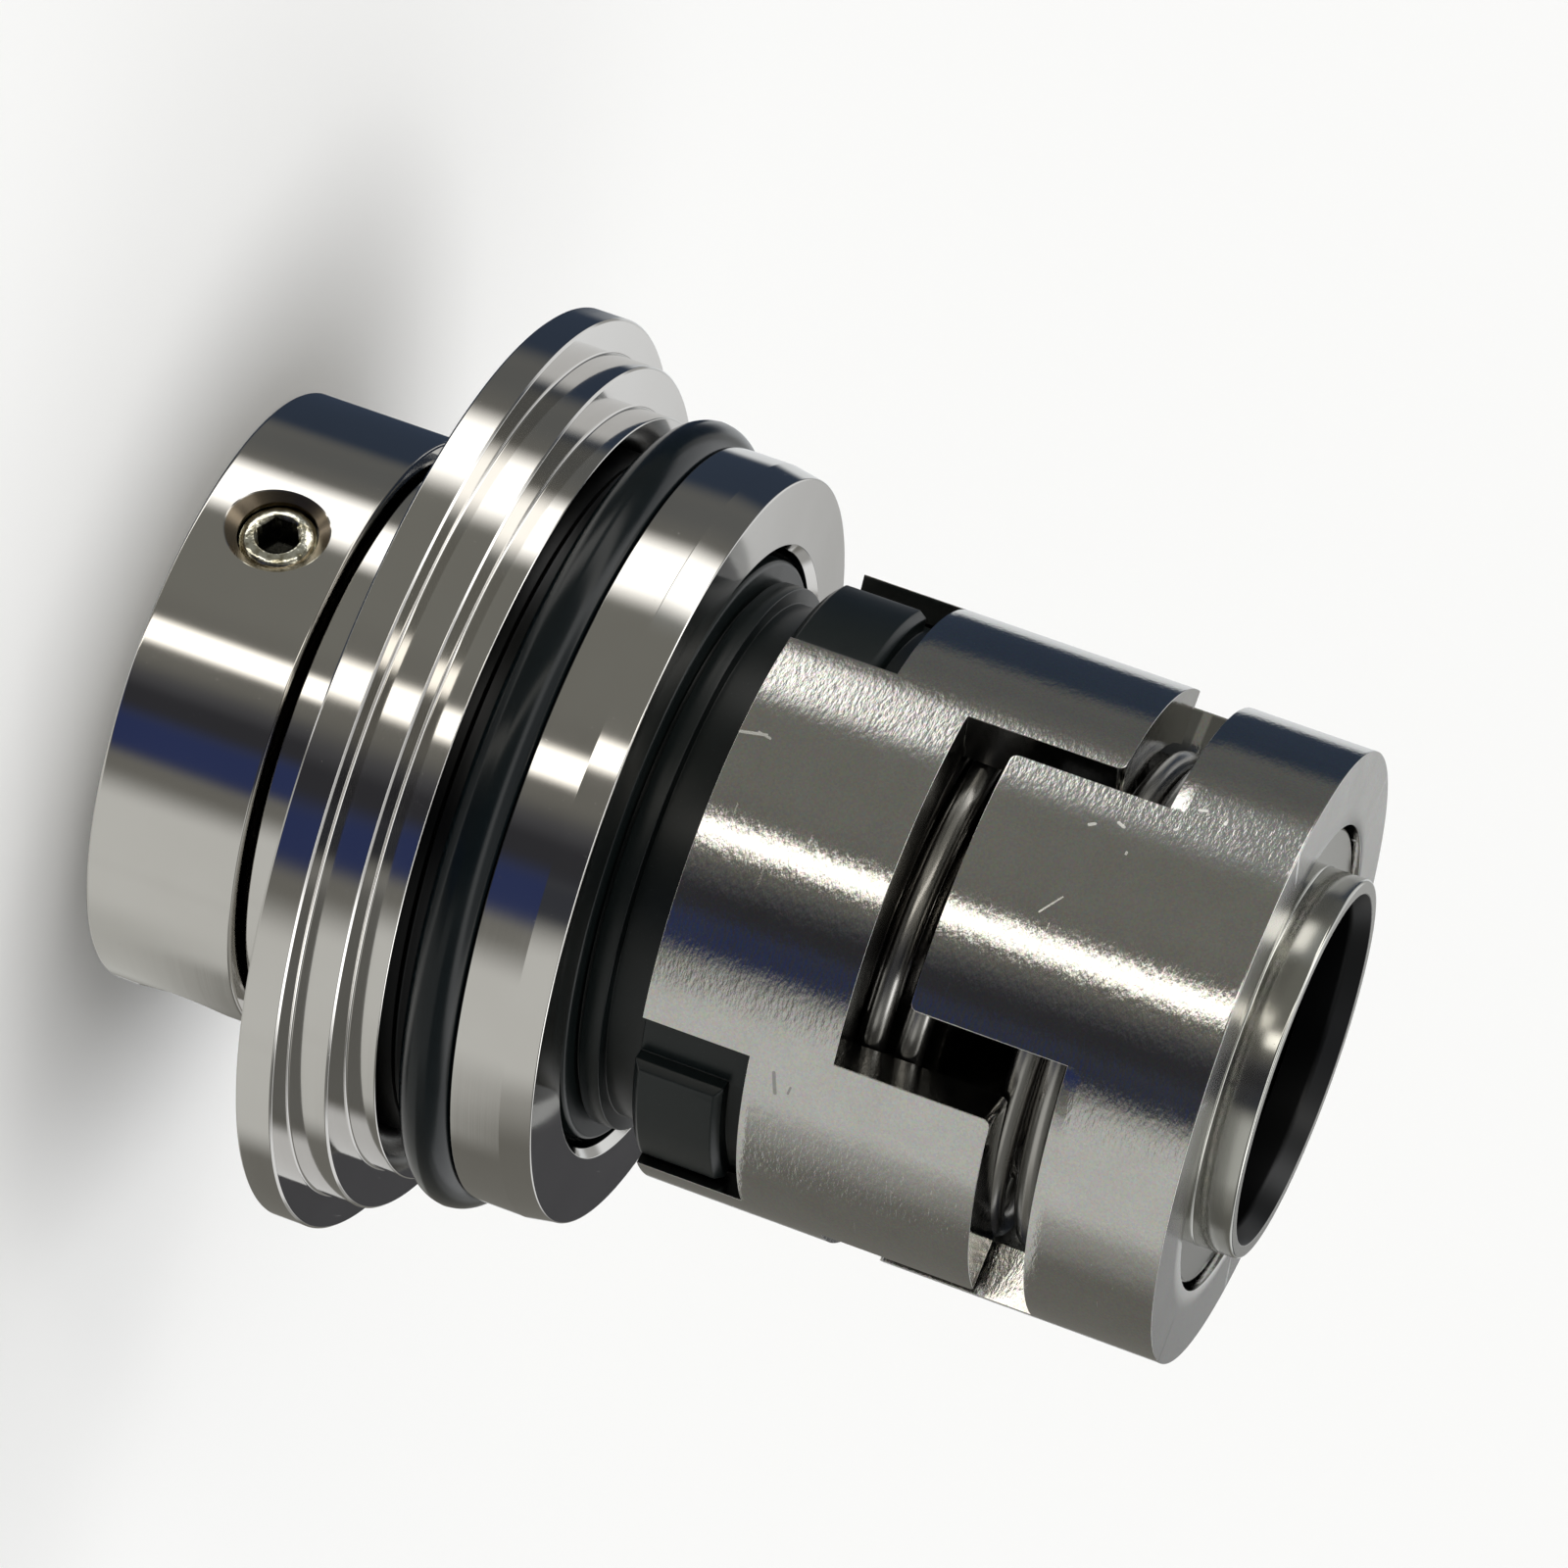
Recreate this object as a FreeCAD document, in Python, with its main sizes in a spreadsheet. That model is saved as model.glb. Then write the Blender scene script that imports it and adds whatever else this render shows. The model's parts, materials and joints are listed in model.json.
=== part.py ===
"""Cartridge mechanical seal for a pump shaft, modelled standing on its drive collar.

The axis is +Z and the origin is the centre of the drive collar's end face.  From the bottom up come
the drive collar with its three set screws, the flanged cover that holds the stationary face, the
castellated carrier that holds the rotating face, the coil spring, and the spring retainer, all on
one thin sleeve that slides over the shaft.
"""
import FreeCAD, Part

import math
import os

import Sketcher

SHEET = "Sizes"

# Every driving size: its word, its value in millimetres or degrees, and what it measures
DRIVING_SIZES = [
    ("shaft_diameter", 22.0, "bore of the sleeve"),
    ("slide_gap", 0.06, "radial running clearance between pieces that move on each other"),
    ("nest_gap", 0.02, "radial clearance between pieces that are assembled and stay put"),
    ("edge_break", 0.20, "chamfer on the turned outer edges"),
    ("fold_count", 3.0, "set screws, lugs and fingers round the axis"),
    ("castle_angle", 202.0, "direction of the first carrier finger"),
    ("collar_radius", 19.7, "drive collar, outside"),
    ("collar_length", 9.95, "drive collar, along the axis"),
    ("screw_diameter", 5.0, "set screw thread"),
    ("screw_length", 6.0, "set screw, end to end"),
    ("screw_depth", 0.6, "socket end below the collar's surface"),
    ("screw_shift", 0.065, "set screw axis above the middle of the collar"),
    ("screw_angle", 238.0, "direction of the first set screw"),
    ("screw_mouth", 0.75, "countersink round each screw hole"),
    ("screw_gap", 0.05, "radial clearance of the screw in its hole"),
    ("key_size", 2.5, "hexagon socket across its flats"),
    ("key_depth", 2.6, "hexagon socket depth"),
    ("sleeve_wall", 1.4, "sleeve, wall thickness"),
    ("sleeve_inset", 0.6, "sleeve end inside the collar's end face"),
    ("sleeve_port_gap", 0.15, "extra radius of the screw holes through the sleeve"),
    ("head_radius", 14.9, "thick head at the far end of the sleeve"),
    ("head_length", 4.9, "sleeve head, along the axis"),
    ("head_rebate", 0.45, "step at the root of the sleeve's lip"),
    ("lip_length", 2.6, "thin lip beyond the sleeve's head"),
    ("lip_mouth", 0.5, "how much the bore widens at the lip"),
    ("lip_taper_length", 1.2, "lead-in taper in the lip's bore"),
    ("shaft_ring_section", 1.9, "section of the O-ring that grips the shaft"),
    ("shaft_ring_play", 0.04, "clearance of that O-ring inside and outside"),
    ("ring_slack", 0.6, "width of an O-ring groove beyond its ring"),
    ("shaft_groove_cover", 0.6, "metal between that groove and the head's end"),
    ("bush_radius", 15.2, "guide bush, outside"),
    ("bush_length", 5.95, "guide bush, along the axis"),
    ("bush_rest_gap", 0.05, "guide bush to the collar's face"),
    ("cover_gap", 0.35, "open slit between the collar and the cover"),
    ("hub_radius", 18.4, "cover hub next to the collar"),
    ("hub_length", 5.1, "cover hub, along the axis"),
    ("flange_rise", 2.3, "cover flange above the larger centring step"),
    ("flange_length", 2.45, "cover flange thickness"),
    ("step_rise", 2.7, "larger centring step above the land"),
    ("step_length", 2.65, "larger centring step, along the axis"),
    ("land_rise", 0.3, "land beside the O-ring groove above the cover's nose"),
    ("land_length", 2.0, "land beside the O-ring groove, along the axis"),
    ("root_cut", 0.28, "relief groove in the face at the root of each step"),
    ("cover_ring_section", 3.53, "cover O-ring section"),
    ("cover_ring_proud", 1.1, "cover O-ring standing out of the nose"),
    ("cover_ring_slack", 1.32, "width of the cover O-ring groove beyond its ring"),
    ("nose_radius", 25.1, "cover nose"),
    ("nose_length", 3.35, "straight part of the cover nose"),
    ("taper_length", 1.95, "lead-in taper of the cover nose"),
    ("taper_drop", 0.35, "how much the taper narrows the radius"),
    ("pocket_radius", 19.9, "pocket for the stationary seat"),
    ("pocket_depth", 8.2, "pocket for the stationary seat, along the axis"),
    ("pocket_break", 0.5, "chamfer at the pocket's mouth"),
    ("cover_bore_gap", 0.8, "cover bore over the sleeve"),
    ("seat_gap", 0.65, "radial gap between the stationary seat and its pocket"),
    ("seat_bore_gap", 1.0, "stationary seat bore over the sleeve"),
    ("seat_sink", 0.2, "seat shoulder below the cover's end"),
    ("seat_lift", 0.3, "seat back to the pocket floor"),
    ("seal_stand", 0.2, "running faces above the cover's end"),
    ("seat_shoulder", 1.95, "radial step from the seat's outside to its running land"),
    ("seat_ring_section", 2.3, "seat O-ring section"),
    ("seat_groove_height", 2.6, "seat O-ring groove above the seat's back"),
    ("pin_diameter", 2.0, "anti-rotation pin of the seat"),
    ("pin_length", 4.0, "anti-rotation pin"),
    ("pin_inset", 3.15, "anti-rotation pin's axis inside the seat's outside"),
    ("pin_gap", 0.1, "clearance of the pin in the seat's slot"),
    ("pin_reach", 1.9, "pin standing out of the pocket floor"),
    ("face_bore_gap", 0.6, "rotating face bore over the sleeve"),
    ("face_band_step", 0.2, "radial step from the face's body to the band by the running face"),
    ("face_band_length", 1.35, "band next to the running face, along the axis"),
    ("face_neck_depth", 1.0, "radial depth of the neck behind that band"),
    ("face_neck_length", 2.7, "neck behind that band, along the axis"),
    ("lug_height", 1.3, "drive lugs standing out of the rotating face's body"),
    ("lug_length", 5.9, "drive lugs, along the axis"),
    ("lug_width", 31.0, "drive lug, angle"),
    ("lug_touch", 0.2, "drive lug to the notch side that drives it, angle"),
    ("lug_chamfer", 0.45, "chamfer round each lug"),
    ("face_tail_length", 1.1, "rotating face behind the lugs"),
    ("face_ring_section", 2.9, "O-ring between the rotating face and the sleeve"),
    ("face_cup_slack", 0.3, "length of that O-ring's seat beyond its ring"),
    ("washer_length", 1.0, "thrust washer thickness"),
    ("washer_margin", 0.3, "thrust washer short of the carrier's wall"),
    ("carrier_radius", 20.05, "carrier, outside"),
    ("carrier_wall", 1.65, "carrier wall round the rotating face"),
    ("carrier_cup_gap", 0.2, "carrier over the rotating face's body"),
    ("carrier_cup_depth", 7.67, "carrier over the rotating face, along the axis"),
    ("notch_rise", 0.6, "lug notch short of the carrier's web"),
    ("notch_width", 42.6, "lug notch, angle"),
    ("carrier_web", 3.1, "carrier web that the spring pushes"),
    ("carrier_ring", 1.5, "closed ring between the carrier's web and its finger slots"),
    ("carrier_finger_width", 50.8, "carrier finger, angle"),
    ("retainer_radius", 20.05, "spring retainer, outside"),
    ("retainer_ring", 1.1, "closed ring between the retainer's web and its finger slots"),
    ("retainer_finger_width", 50.3, "retainer finger, angle"),
    ("retainer_lag", 4.8, "retainer finger off the middle of the carrier's gap, angle"),
    ("retainer_web", 2.0, "retainer web that backs the spring"),
    ("retainer_face_depth", 5.3, "stepped recess in the retainer's end"),
    ("head_slit", 0.35, "open slit between that recess's wall and the sleeve's head"),
    ("finger_corner", 0.5, "rounding of the finger tips"),
    ("face_travel", 2.5, "axial travel of the sprung face against the spring"),
    ("retainer_tip_gap", 1.1, "retainer fingers to the carrier at full travel"),
    ("carrier_tip_gap", 1.1, "carrier fingers to the retainer at full travel"),
    ("spring_wire", 1.75, "spring wire diameter"),
    ("spring_radius", 15.4, "spring, mean radius"),
    ("spring_gap", 0.225, "radial clearance between the spring and the fingers round it"),
    ("spring_length", 16.4, "spring as fitted, end to end"),
    ("spring_angle", 290.0, "direction where the spring's open turn starts"),
    ("drive_pin_diameter", 1.5, "drive pin between retainer and sleeve head"),
    ("drive_pin_length", 2.9, "drive pin, end to end"),
    ("drive_pin_depth", 1.3, "drive pin in the sleeve's head"),
]

DEGREE = math.pi / 180.0


class Measure:
    """A number that also knows the spreadsheet formula that gives it."""

    def __init__(self, value, formula):
        self.value = value
        self.formula = formula

    @staticmethod
    def of(thing):
        if isinstance(thing, Measure):
            return thing
        return Measure(float(thing), repr(float(thing)))

    def joined(self, sign, other, value):
        return Measure(value, "(%s %s %s)" % (self.formula, sign, other.formula))

    def __add__(self, other):
        other = Measure.of(other)
        return self.joined("+", other, self.value + other.value)

    def __sub__(self, other):
        other = Measure.of(other)
        return self.joined("-", other, self.value - other.value)

    def __mul__(self, other):
        other = Measure.of(other)
        return self.joined("*", other, self.value * other.value)

    def __truediv__(self, other):
        other = Measure.of(other)
        return self.joined("/", other, self.value / other.value)

    def __radd__(self, other):
        return Measure.of(other) + self

    def __rsub__(self, other):
        return Measure.of(other) - self

    def __rmul__(self, other):
        return Measure.of(other) * self

    def __rtruediv__(self, other):
        return Measure.of(other) / self

    def cos(self):
        return Measure(math.cos(self.value * DEGREE), "cos(%s * 1 deg)" % self.formula)

    def sin(self):
        return Measure(math.sin(self.value * DEGREE), "sin(%s * 1 deg)" % self.formula)


class Sizes:
    """The spreadsheet of driving sizes, read as attributes."""

    def __init__(self, document):
        self.sheet = document.addObject("Spreadsheet::Sheet", SHEET)
        self.known = {}
        for row, (word, value, meaning) in enumerate(DRIVING_SIZES, start=1):
            self.sheet.set("A%d" % row, word)
            self.sheet.set("B%d" % row, str(value))
            self.sheet.set("C%d" % row, meaning)
            self.sheet.setAlias("B%d" % row, word)
            self.known[word] = Measure(value, "%s.%s" % (SHEET, word))

    def __getattr__(self, word):
        return self.__dict__["known"][word]


doc = FreeCAD.newDocument("CartridgeSeal")
size = Sizes(doc)
doc.recompute()
pieces = []


def origin_item(body, role):
    """One of the planes or axes of a body's own origin."""
    return next(item for item in body.Origin.OriginFeatures if item.Role == role)


def new_body(label):
    """An empty body whose label names the piece."""
    body = doc.addObject("PartDesign::Body", label)
    body.Label = label
    pieces.append(body)
    return body


def bind(owner, path, measure):
    """Ties a property to its formula in the spreadsheet."""
    owner.setExpression(path, Measure.of(measure).formula)


def raise_to(body, height):
    """Sets a piece at its height along the axis."""
    bind(body, "Placement.Base.z", height)


def new_sketch(body, name, role, height=None, turn=None):
    """A sketch on one of the body's own planes, lifted and turned about the plane's normal."""
    sketch = body.newObject("Sketcher::SketchObject", name)
    sketch.AttachmentSupport = [(origin_item(body, role), "")]
    sketch.MapMode = "FlatFace"
    if height is not None:
        bind(sketch, "AttachmentOffset.Base.z", height)
    if turn is not None:
        offset = sketch.AttachmentOffset
        offset.Rotation = FreeCAD.Rotation(FreeCAD.Vector(0, 0, 1), turn.value)
        sketch.AttachmentOffset = offset
        bind(sketch, "AttachmentOffset.Rotation.Angle", turn)
    return sketch


def hold_point(sketch, line, point, across, along):
    """Fixes one end of a sketch line at its two distances from the sketch's origin."""
    for kind, axis_item, value in (("DistanceX", -2, across), ("DistanceY", -1, along)):
        value = Measure.of(value)
        if value.formula == "0.0":
            sketch.addConstraint(Sketcher.Constraint("PointOnObject", line, point, axis_item))
            continue
        rule = sketch.addConstraint(Sketcher.Constraint(kind, -1, 1, line, point, value.value))
        bind(sketch, "Constraints[%d]" % rule, value)


def outline(sketch, corners):
    """A closed outline of straight lines through corners given as pairs of measures."""
    corners = [(Measure.of(across), Measure.of(along)) for across, along in corners]
    points = [FreeCAD.Vector(across.value, along.value, 0) for across, along in corners]
    count = len(points)
    nexts = points[1:] + points[:1]
    lines = [sketch.addGeometry(Part.LineSegment(start, stop)) for start, stop in zip(points, nexts)]
    for i in range(count):
        sketch.addConstraint(Sketcher.Constraint("Coincident", lines[i], 2, lines[(i + 1) % count], 1))
    for line, (across, along) in zip(lines, corners):
        hold_point(sketch, line, 1, across, along)


def turned(body, corners, name="Profile"):
    """Turns a profile of (radius, height) corners about the axis."""
    sketch = new_sketch(body, name, "XZ_Plane")
    outline(sketch, corners)
    feature = body.newObject("PartDesign::Revolution", "Turned")
    feature.Profile = sketch
    feature.ReferenceAxis = (sketch, ["V_Axis"])
    feature.Angle = 360.0
    return feature


def sector(sketch, inner, outer, width):
    """A ring sector about the sketch's x axis: two arcs and two radial sides."""
    half = width / 2
    start, stop = -half.value * DEGREE, half.value * DEGREE
    centre, normal = FreeCAD.Vector(0, 0, 0), FreeCAD.Vector(0, 0, 1)
    arcs = []
    for radius in (inner, outer):
        circle = Part.Circle(centre, normal, radius.value)
        arcs.append(sketch.addGeometry(Part.ArcOfCircle(circle, start, stop)))
    sides = []
    for angle in (start, stop):
        ray = FreeCAD.Vector(math.cos(angle), math.sin(angle), 0)
        sides.append(sketch.addGeometry(Part.LineSegment(ray * inner.value, ray * outer.value)))
    for arc, radius in zip(arcs, (inner, outer)):
        sketch.addConstraint(Sketcher.Constraint("Coincident", arc, 3, -1, 1))
        rule = sketch.addConstraint(Sketcher.Constraint("Radius", arc, radius.value))
        bind(sketch, "Constraints[%d]" % rule, radius)
    for side, arc_end in zip(sides, (1, 2)):
        sketch.addConstraint(Sketcher.Constraint("Coincident", side, 1, arcs[0], arc_end))
        sketch.addConstraint(Sketcher.Constraint("Coincident", side, 2, arcs[1], arc_end))
        sketch.addConstraint(Sketcher.Constraint("PointOnObject", -1, 1, side))
    for side, slope in zip(sides, (-1 * half, half)):
        rule = sketch.addConstraint(Sketcher.Constraint("Angle", side, slope.value * DEGREE))
        bind(sketch, "Constraints[%d]" % rule, slope)


def circle_at(sketch, distance, radius):
    """A circle on the sketch's x axis."""
    circle = Part.Circle(FreeCAD.Vector(distance.value, 0, 0), FreeCAD.Vector(0, 0, 1), radius.value)
    item = sketch.addGeometry(circle)
    hold_point(sketch, item, 3, distance, 0)
    rule = sketch.addConstraint(Sketcher.Constraint("Radius", item, radius.value))
    bind(sketch, "Constraints[%d]" % rule, radius)


def cut_along(body, name, sketch, length, upwards=True):
    """Cuts a sketch through the piece along the axis."""
    pocket = body.newObject("PartDesign::Pocket", name)
    pocket.Profile = sketch
    pocket.Type = 0
    bind(pocket, "Length", length)
    pocket.Reversed = upwards
    return pocket


def round_the_axis(body, feature):
    """Repeats a feature round the axis, as often as the piece has fingers."""
    pattern = body.newObject("PartDesign::PolarPattern", feature.Name + "Ring")
    pattern.Originals = [feature]
    pattern.Axis = (origin_item(body, "Z_Axis"), [""])
    pattern.Angle = 360.0
    bind(pattern, "Occurrences", size.fold_count)
    body.Tip = pattern
    return pattern


def radial_hole(body, corners, height, turn):
    """A round hole along a radius, its profile given as (distance from the axis, hole radius)."""
    sketch = new_sketch(body, "HoleProfile", "XY_Plane", height, turn)
    outline(sketch, corners)
    groove = body.newObject("PartDesign::Groove", "RadialHole")
    groove.Profile = sketch
    groove.ReferenceAxis = (sketch, ["H_Axis"])
    groove.Angle = 360.0
    return groove


def edges_where(feature, test):
    """Names of the edges of a feature's shape that pass a test."""
    edges = feature.Shape.Edges
    return ["Edge%d" % (i + 1) for i, edge in enumerate(edges) if test(edge)]


def is_axial(edge, radius):
    """Whether an edge runs along the axis at a radius."""
    first, last = edge.Vertexes[0].Point, edge.Vertexes[-1].Point
    far = [math.hypot(point.x, point.y) for point in (first, last)]
    straight = math.hypot(first.x - last.x, first.y - last.y) < 0.001 and abs(first.z - last.z) > 0.1
    return straight and max(abs(distance - radius) for distance in far) < 0.001


def is_radial(edge, height):
    """Whether an edge is a straight radial line at a height of its own piece."""
    if len(edge.Vertexes) < 2 or edge.Curve.TypeId != "Part::GeomLine":
        return False
    first, last = edge.Vertexes[0].Point, edge.Vertexes[-1].Point
    level = max(abs(first.z - height), abs(last.z - height)) < 0.001
    return level and math.hypot(first.x - last.x, first.y - last.y) > 0.5


def dress(body, kind, name, base, edges, amount):
    """A fillet or a chamfer on chosen edges."""
    feature = body.newObject(kind, name)
    feature.Base = (base, edges)
    bind(feature, "Radius" if kind.endswith("Fillet") else "Size", amount)
    body.Tip = feature
    return feature


def o_ring(label, ring_radius, section, height):
    """A plain torus: the middle of its section lies at ring_radius and height."""
    ring = doc.addObject("Part::Torus", label)
    ring.Label = label
    bind(ring, "Radius1", ring_radius)
    bind(ring, "Radius2", section / 2)
    raise_to(ring, height)
    pieces.append(ring)
    return ring


def pin(label, radius, length, distance, angle, height):
    """A plain round pin along the axis."""
    rod = doc.addObject("Part::Cylinder", label)
    rod.Label = label
    bind(rod, "Radius", radius)
    bind(rod, "Height", length)
    bind(rod, "Placement.Base.x", distance * angle.cos())
    bind(rod, "Placement.Base.y", distance * angle.sin())
    raise_to(rod, height)
    pieces.append(rod)
    return rod


# Radii that several pieces share
shaft_radius = size.shaft_diameter / 2
sleeve_radius = shaft_radius + size.sleeve_wall
screw_radius = size.screw_diameter / 2
pin_radius = size.pin_diameter / 2
drive_pin_radius = size.drive_pin_diameter / 2
seat_radius = size.pocket_radius - size.seat_gap
pin_circle = seat_radius - size.pin_inset
face_body_radius = size.carrier_radius - size.carrier_wall - size.carrier_cup_gap
face_band_radius = face_body_radius - size.face_band_step
lug_radius = face_body_radius + size.lug_height
land_radius = size.nose_radius + size.land_rise
step_radius = land_radius + size.step_rise
flange_radius = step_radius + size.flange_rise
spring_room_radius = size.spring_radius + size.spring_wire / 2 + size.spring_gap

# Lengths that follow from what lies in them
groove_length = size.cover_ring_section + size.cover_ring_slack
seat_groove_width = size.seat_ring_section + size.ring_slack
shaft_groove_width = size.shaft_ring_section + size.ring_slack
face_cup_depth = size.face_ring_section + size.face_cup_slack

# Heights along the axis, from the collar's end face upwards
screw_height = size.collar_length / 2 + size.screw_shift
cover_height = size.collar_length + size.cover_gap
cover_length = (size.hub_length + size.flange_length + size.step_length + size.land_length
                + groove_length + size.nose_length + size.taper_length)
cover_end = cover_height + cover_length
pocket_floor = cover_end - size.pocket_depth
seal_plane = cover_end + size.seal_stand
face_length = size.face_band_length + size.face_neck_length + size.lug_length + size.face_tail_length
washer_height = seal_plane + face_length
carrier_web_height = washer_height + size.washer_length
carrier_height = carrier_web_height - size.carrier_cup_depth
spring_height = carrier_web_height + size.carrier_web
spring_top = spring_height + size.spring_length
head_height = spring_top + size.retainer_web

# The two sets of fingers reach past each other and stay apart over the whole travel
carrier_slot_height = spring_height + size.carrier_ring
retainer_height = carrier_slot_height + size.face_travel + size.retainer_tip_gap
retainer_slot_height = spring_top - size.retainer_ring
carrier_end = retainer_slot_height - size.face_travel - size.carrier_tip_gap

# The guide bush starts just above the collar
bush_height = size.collar_length + size.bush_rest_gap

# The cover O-ring rests on the floor of its groove and stands proud of the nose
cover_ring_radius = size.nose_radius + size.cover_ring_proud - size.cover_ring_section / 2
cover_groove_floor = cover_ring_radius - size.cover_ring_section / 2 - size.nest_gap
cover_ring_height = (cover_end - size.taper_length - size.nose_length - size.nest_gap
                     - size.cover_ring_section / 2)

# The seat O-ring fills the space between the pocket's wall and the seat's groove
seat_height = pocket_floor + size.seat_lift
seat_ring_radius = size.pocket_radius - size.nest_gap - size.seat_ring_section / 2
seat_groove_floor = seat_ring_radius - size.seat_ring_section / 2 - size.nest_gap
seat_ring_height = seat_height + size.seat_groove_height + seat_groove_width / 2

# The rotating face's O-ring sits between the sleeve and a cup in the back of the face
face_ring_radius = sleeve_radius + size.slide_gap + size.face_ring_section / 2
face_cup_radius = face_ring_radius + size.face_ring_section / 2 + size.nest_gap
face_ring_height = washer_height - face_cup_depth / 2

# The drive pin stands in the middle of the ring between the sleeve's wall and the head's edge
pin_track = (sleeve_radius + size.head_radius) / 2


def drive_collar():
    """The collar that clamps the cartridge to the shaft: a turned ring with three screw holes."""
    body = new_body("drive_collar")
    bore, outside = sleeve_radius + size.nest_gap, size.collar_radius
    chamfer, length = size.edge_break, size.collar_length
    turned(body, [
        (bore, 0), (outside - chamfer, 0), (outside, chamfer),
        (outside, length - chamfer), (outside - chamfer, length), (bore, length),
    ])
    hole = screw_radius + size.screw_gap
    mouth = screw_radius + size.screw_mouth
    beyond = outside + 1
    drilled = radial_hole(body, [
        (bore - 1, 0), (bore - 1, hole), (outside - size.screw_mouth, hole),
        (outside, mouth), (beyond, mouth), (beyond, 0),
    ], screw_height, size.screw_angle)
    round_the_axis(body, drilled)


def set_screw(number):
    """A cup-point set screw with a hexagon socket, lying along its own radius."""
    body = new_body("set_screw_%d" % number)
    bevel = size.edge_break
    point = screw_radius - 2 * bevel
    cup = screw_radius / 2
    length = size.screw_length
    turned(body, [
        (0, 0), (screw_radius - bevel, 0), (screw_radius, bevel), (screw_radius, length - 2 * bevel),
        (point, length), (cup, length), (0, length - cup * 0.6),
    ])
    sketch = new_sketch(body, "Socket", "XY_Plane")
    reach = size.key_size / (3 ** 0.5)
    hexagon = [(reach * math.cos(k * 60 * DEGREE), reach * math.sin(k * 60 * DEGREE)) for k in range(6)]
    hexagon[0], hexagon[3] = (reach, 0), (-1 * reach, 0)
    outline(sketch, hexagon)
    cut_along(body, "HexSocket", sketch, size.key_depth)
    direction = size.screw_angle + (number - 1) * 360 / size.fold_count
    start = size.collar_radius - size.screw_depth
    turn = FreeCAD.Rotation(FreeCAD.Vector(0, 0, 1), direction.value)
    inward = FreeCAD.Rotation(FreeCAD.Vector(0, 1, 0), -90)
    body.Placement = FreeCAD.Placement(FreeCAD.Vector(0, 0, 0), turn * inward)
    bind(body, "Placement.Base.x", start * direction.cos())
    bind(body, "Placement.Base.y", start * direction.sin())
    raise_to(body, screw_height)


def shaft_sleeve():
    """The thin sleeve on the shaft, with a thick head that holds an O-ring and backs the retainer."""
    body = new_body("shaft_sleeve")
    base = size.sleeve_inset
    head = head_height - base
    face = head + size.head_length
    end = face + size.lip_length
    break_ = size.edge_break
    groove_top = face - size.shaft_groove_cover
    groove_bottom = groove_top - shaft_groove_width
    groove_radius = shaft_radius + size.shaft_ring_section + 2 * size.shaft_ring_play
    rebate = size.head_rebate
    turned(body, [
        (shaft_radius, 0), (sleeve_radius - break_, 0), (sleeve_radius, break_), (sleeve_radius, head),
        (size.head_radius - break_, head), (size.head_radius, head + break_),
        (size.head_radius, face - break_), (size.head_radius - break_, face),
        (sleeve_radius + rebate, face), (sleeve_radius + rebate, face - rebate),
        (sleeve_radius, face - rebate), (sleeve_radius, end - break_), (sleeve_radius - break_, end),
        (shaft_radius + size.lip_mouth, end), (shaft_radius, end - size.lip_taper_length),
        (shaft_radius, groove_top), (groove_radius, groove_top),
        (groove_radius, groove_bottom), (shaft_radius, groove_bottom),
    ])
    port = screw_radius + size.sleeve_port_gap
    port_height = screw_height - base
    drilled = radial_hole(body, [
        (shaft_radius - 1, 0), (shaft_radius - 1, port),
        (sleeve_radius + 1, port), (sleeve_radius + 1, 0),
    ], port_height, size.screw_angle)
    round_the_axis(body, drilled)
    sketch = new_sketch(body, "PinSeat", "XY_Plane", head, size.castle_angle)
    circle_at(sketch, pin_track, drive_pin_radius)
    cut_along(body, "PinHole", sketch, size.drive_pin_depth)
    raise_to(body, base)


def guide_bush():
    """The dark bush that centres the cover on the sleeve and shows in the slit beside the collar."""
    body = new_body("guide_bush")
    inside, chamfer = sleeve_radius + size.slide_gap, size.edge_break
    turned(body, [
        (inside, 0), (size.bush_radius - chamfer, 0), (size.bush_radius, chamfer),
        (size.bush_radius, size.bush_length), (inside, size.bush_length),
    ])
    raise_to(body, bush_height)


def seal_cover():
    """The stationary cover: hub, flange, two centring steps, O-ring groove and tapered nose."""
    body = new_body("seal_cover")
    chamfer, cut, mouth = size.edge_break, size.root_cut, size.pocket_break
    bush_seat = size.bush_radius + size.nest_gap
    bush_end = bush_height + size.bush_length - cover_height
    bore = sleeve_radius + size.cover_bore_gap
    flange = size.hub_length
    step = flange + size.flange_length
    land = step + size.step_length
    groove = land + size.land_length
    nose = groove + groove_length
    taper = nose + size.nose_length
    end = taper + size.taper_length
    floor = pocket_floor - cover_height
    turned(body, [
        (bush_seat, 0), (size.hub_radius - chamfer, 0), (size.hub_radius, chamfer),
        (size.hub_radius, flange),
        (flange_radius - chamfer, flange), (flange_radius, flange + chamfer),
        (flange_radius, step - chamfer), (flange_radius - chamfer, step),
        (step_radius + cut, step), (step_radius + cut, step - cut), (step_radius, step - cut),
        (step_radius, land - chamfer), (step_radius - chamfer, land),
        (land_radius + cut, land), (land_radius + cut, land - cut), (land_radius, land - cut),
        (land_radius, groove - chamfer / 2), (land_radius - chamfer / 2, groove),
        (cover_groove_floor, groove), (cover_groove_floor, nose),
        (size.nose_radius - chamfer / 2, nose), (size.nose_radius, nose + chamfer / 2),
        (size.nose_radius, taper), (size.nose_radius - size.taper_drop, end),
        (size.pocket_radius + mouth, end), (size.pocket_radius, end - mouth),
        (size.pocket_radius, floor), (bore, floor), (bore, bush_end), (bush_seat, bush_end),
    ])
    sketch = new_sketch(body, "PinSeat", "XY_Plane", floor, size.castle_angle)
    circle_at(sketch, pin_circle, pin_radius)
    cut_along(body, "PinHole", sketch, size.pin_length - size.pin_reach, upwards=False)
    raise_to(body, cover_height)


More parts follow.
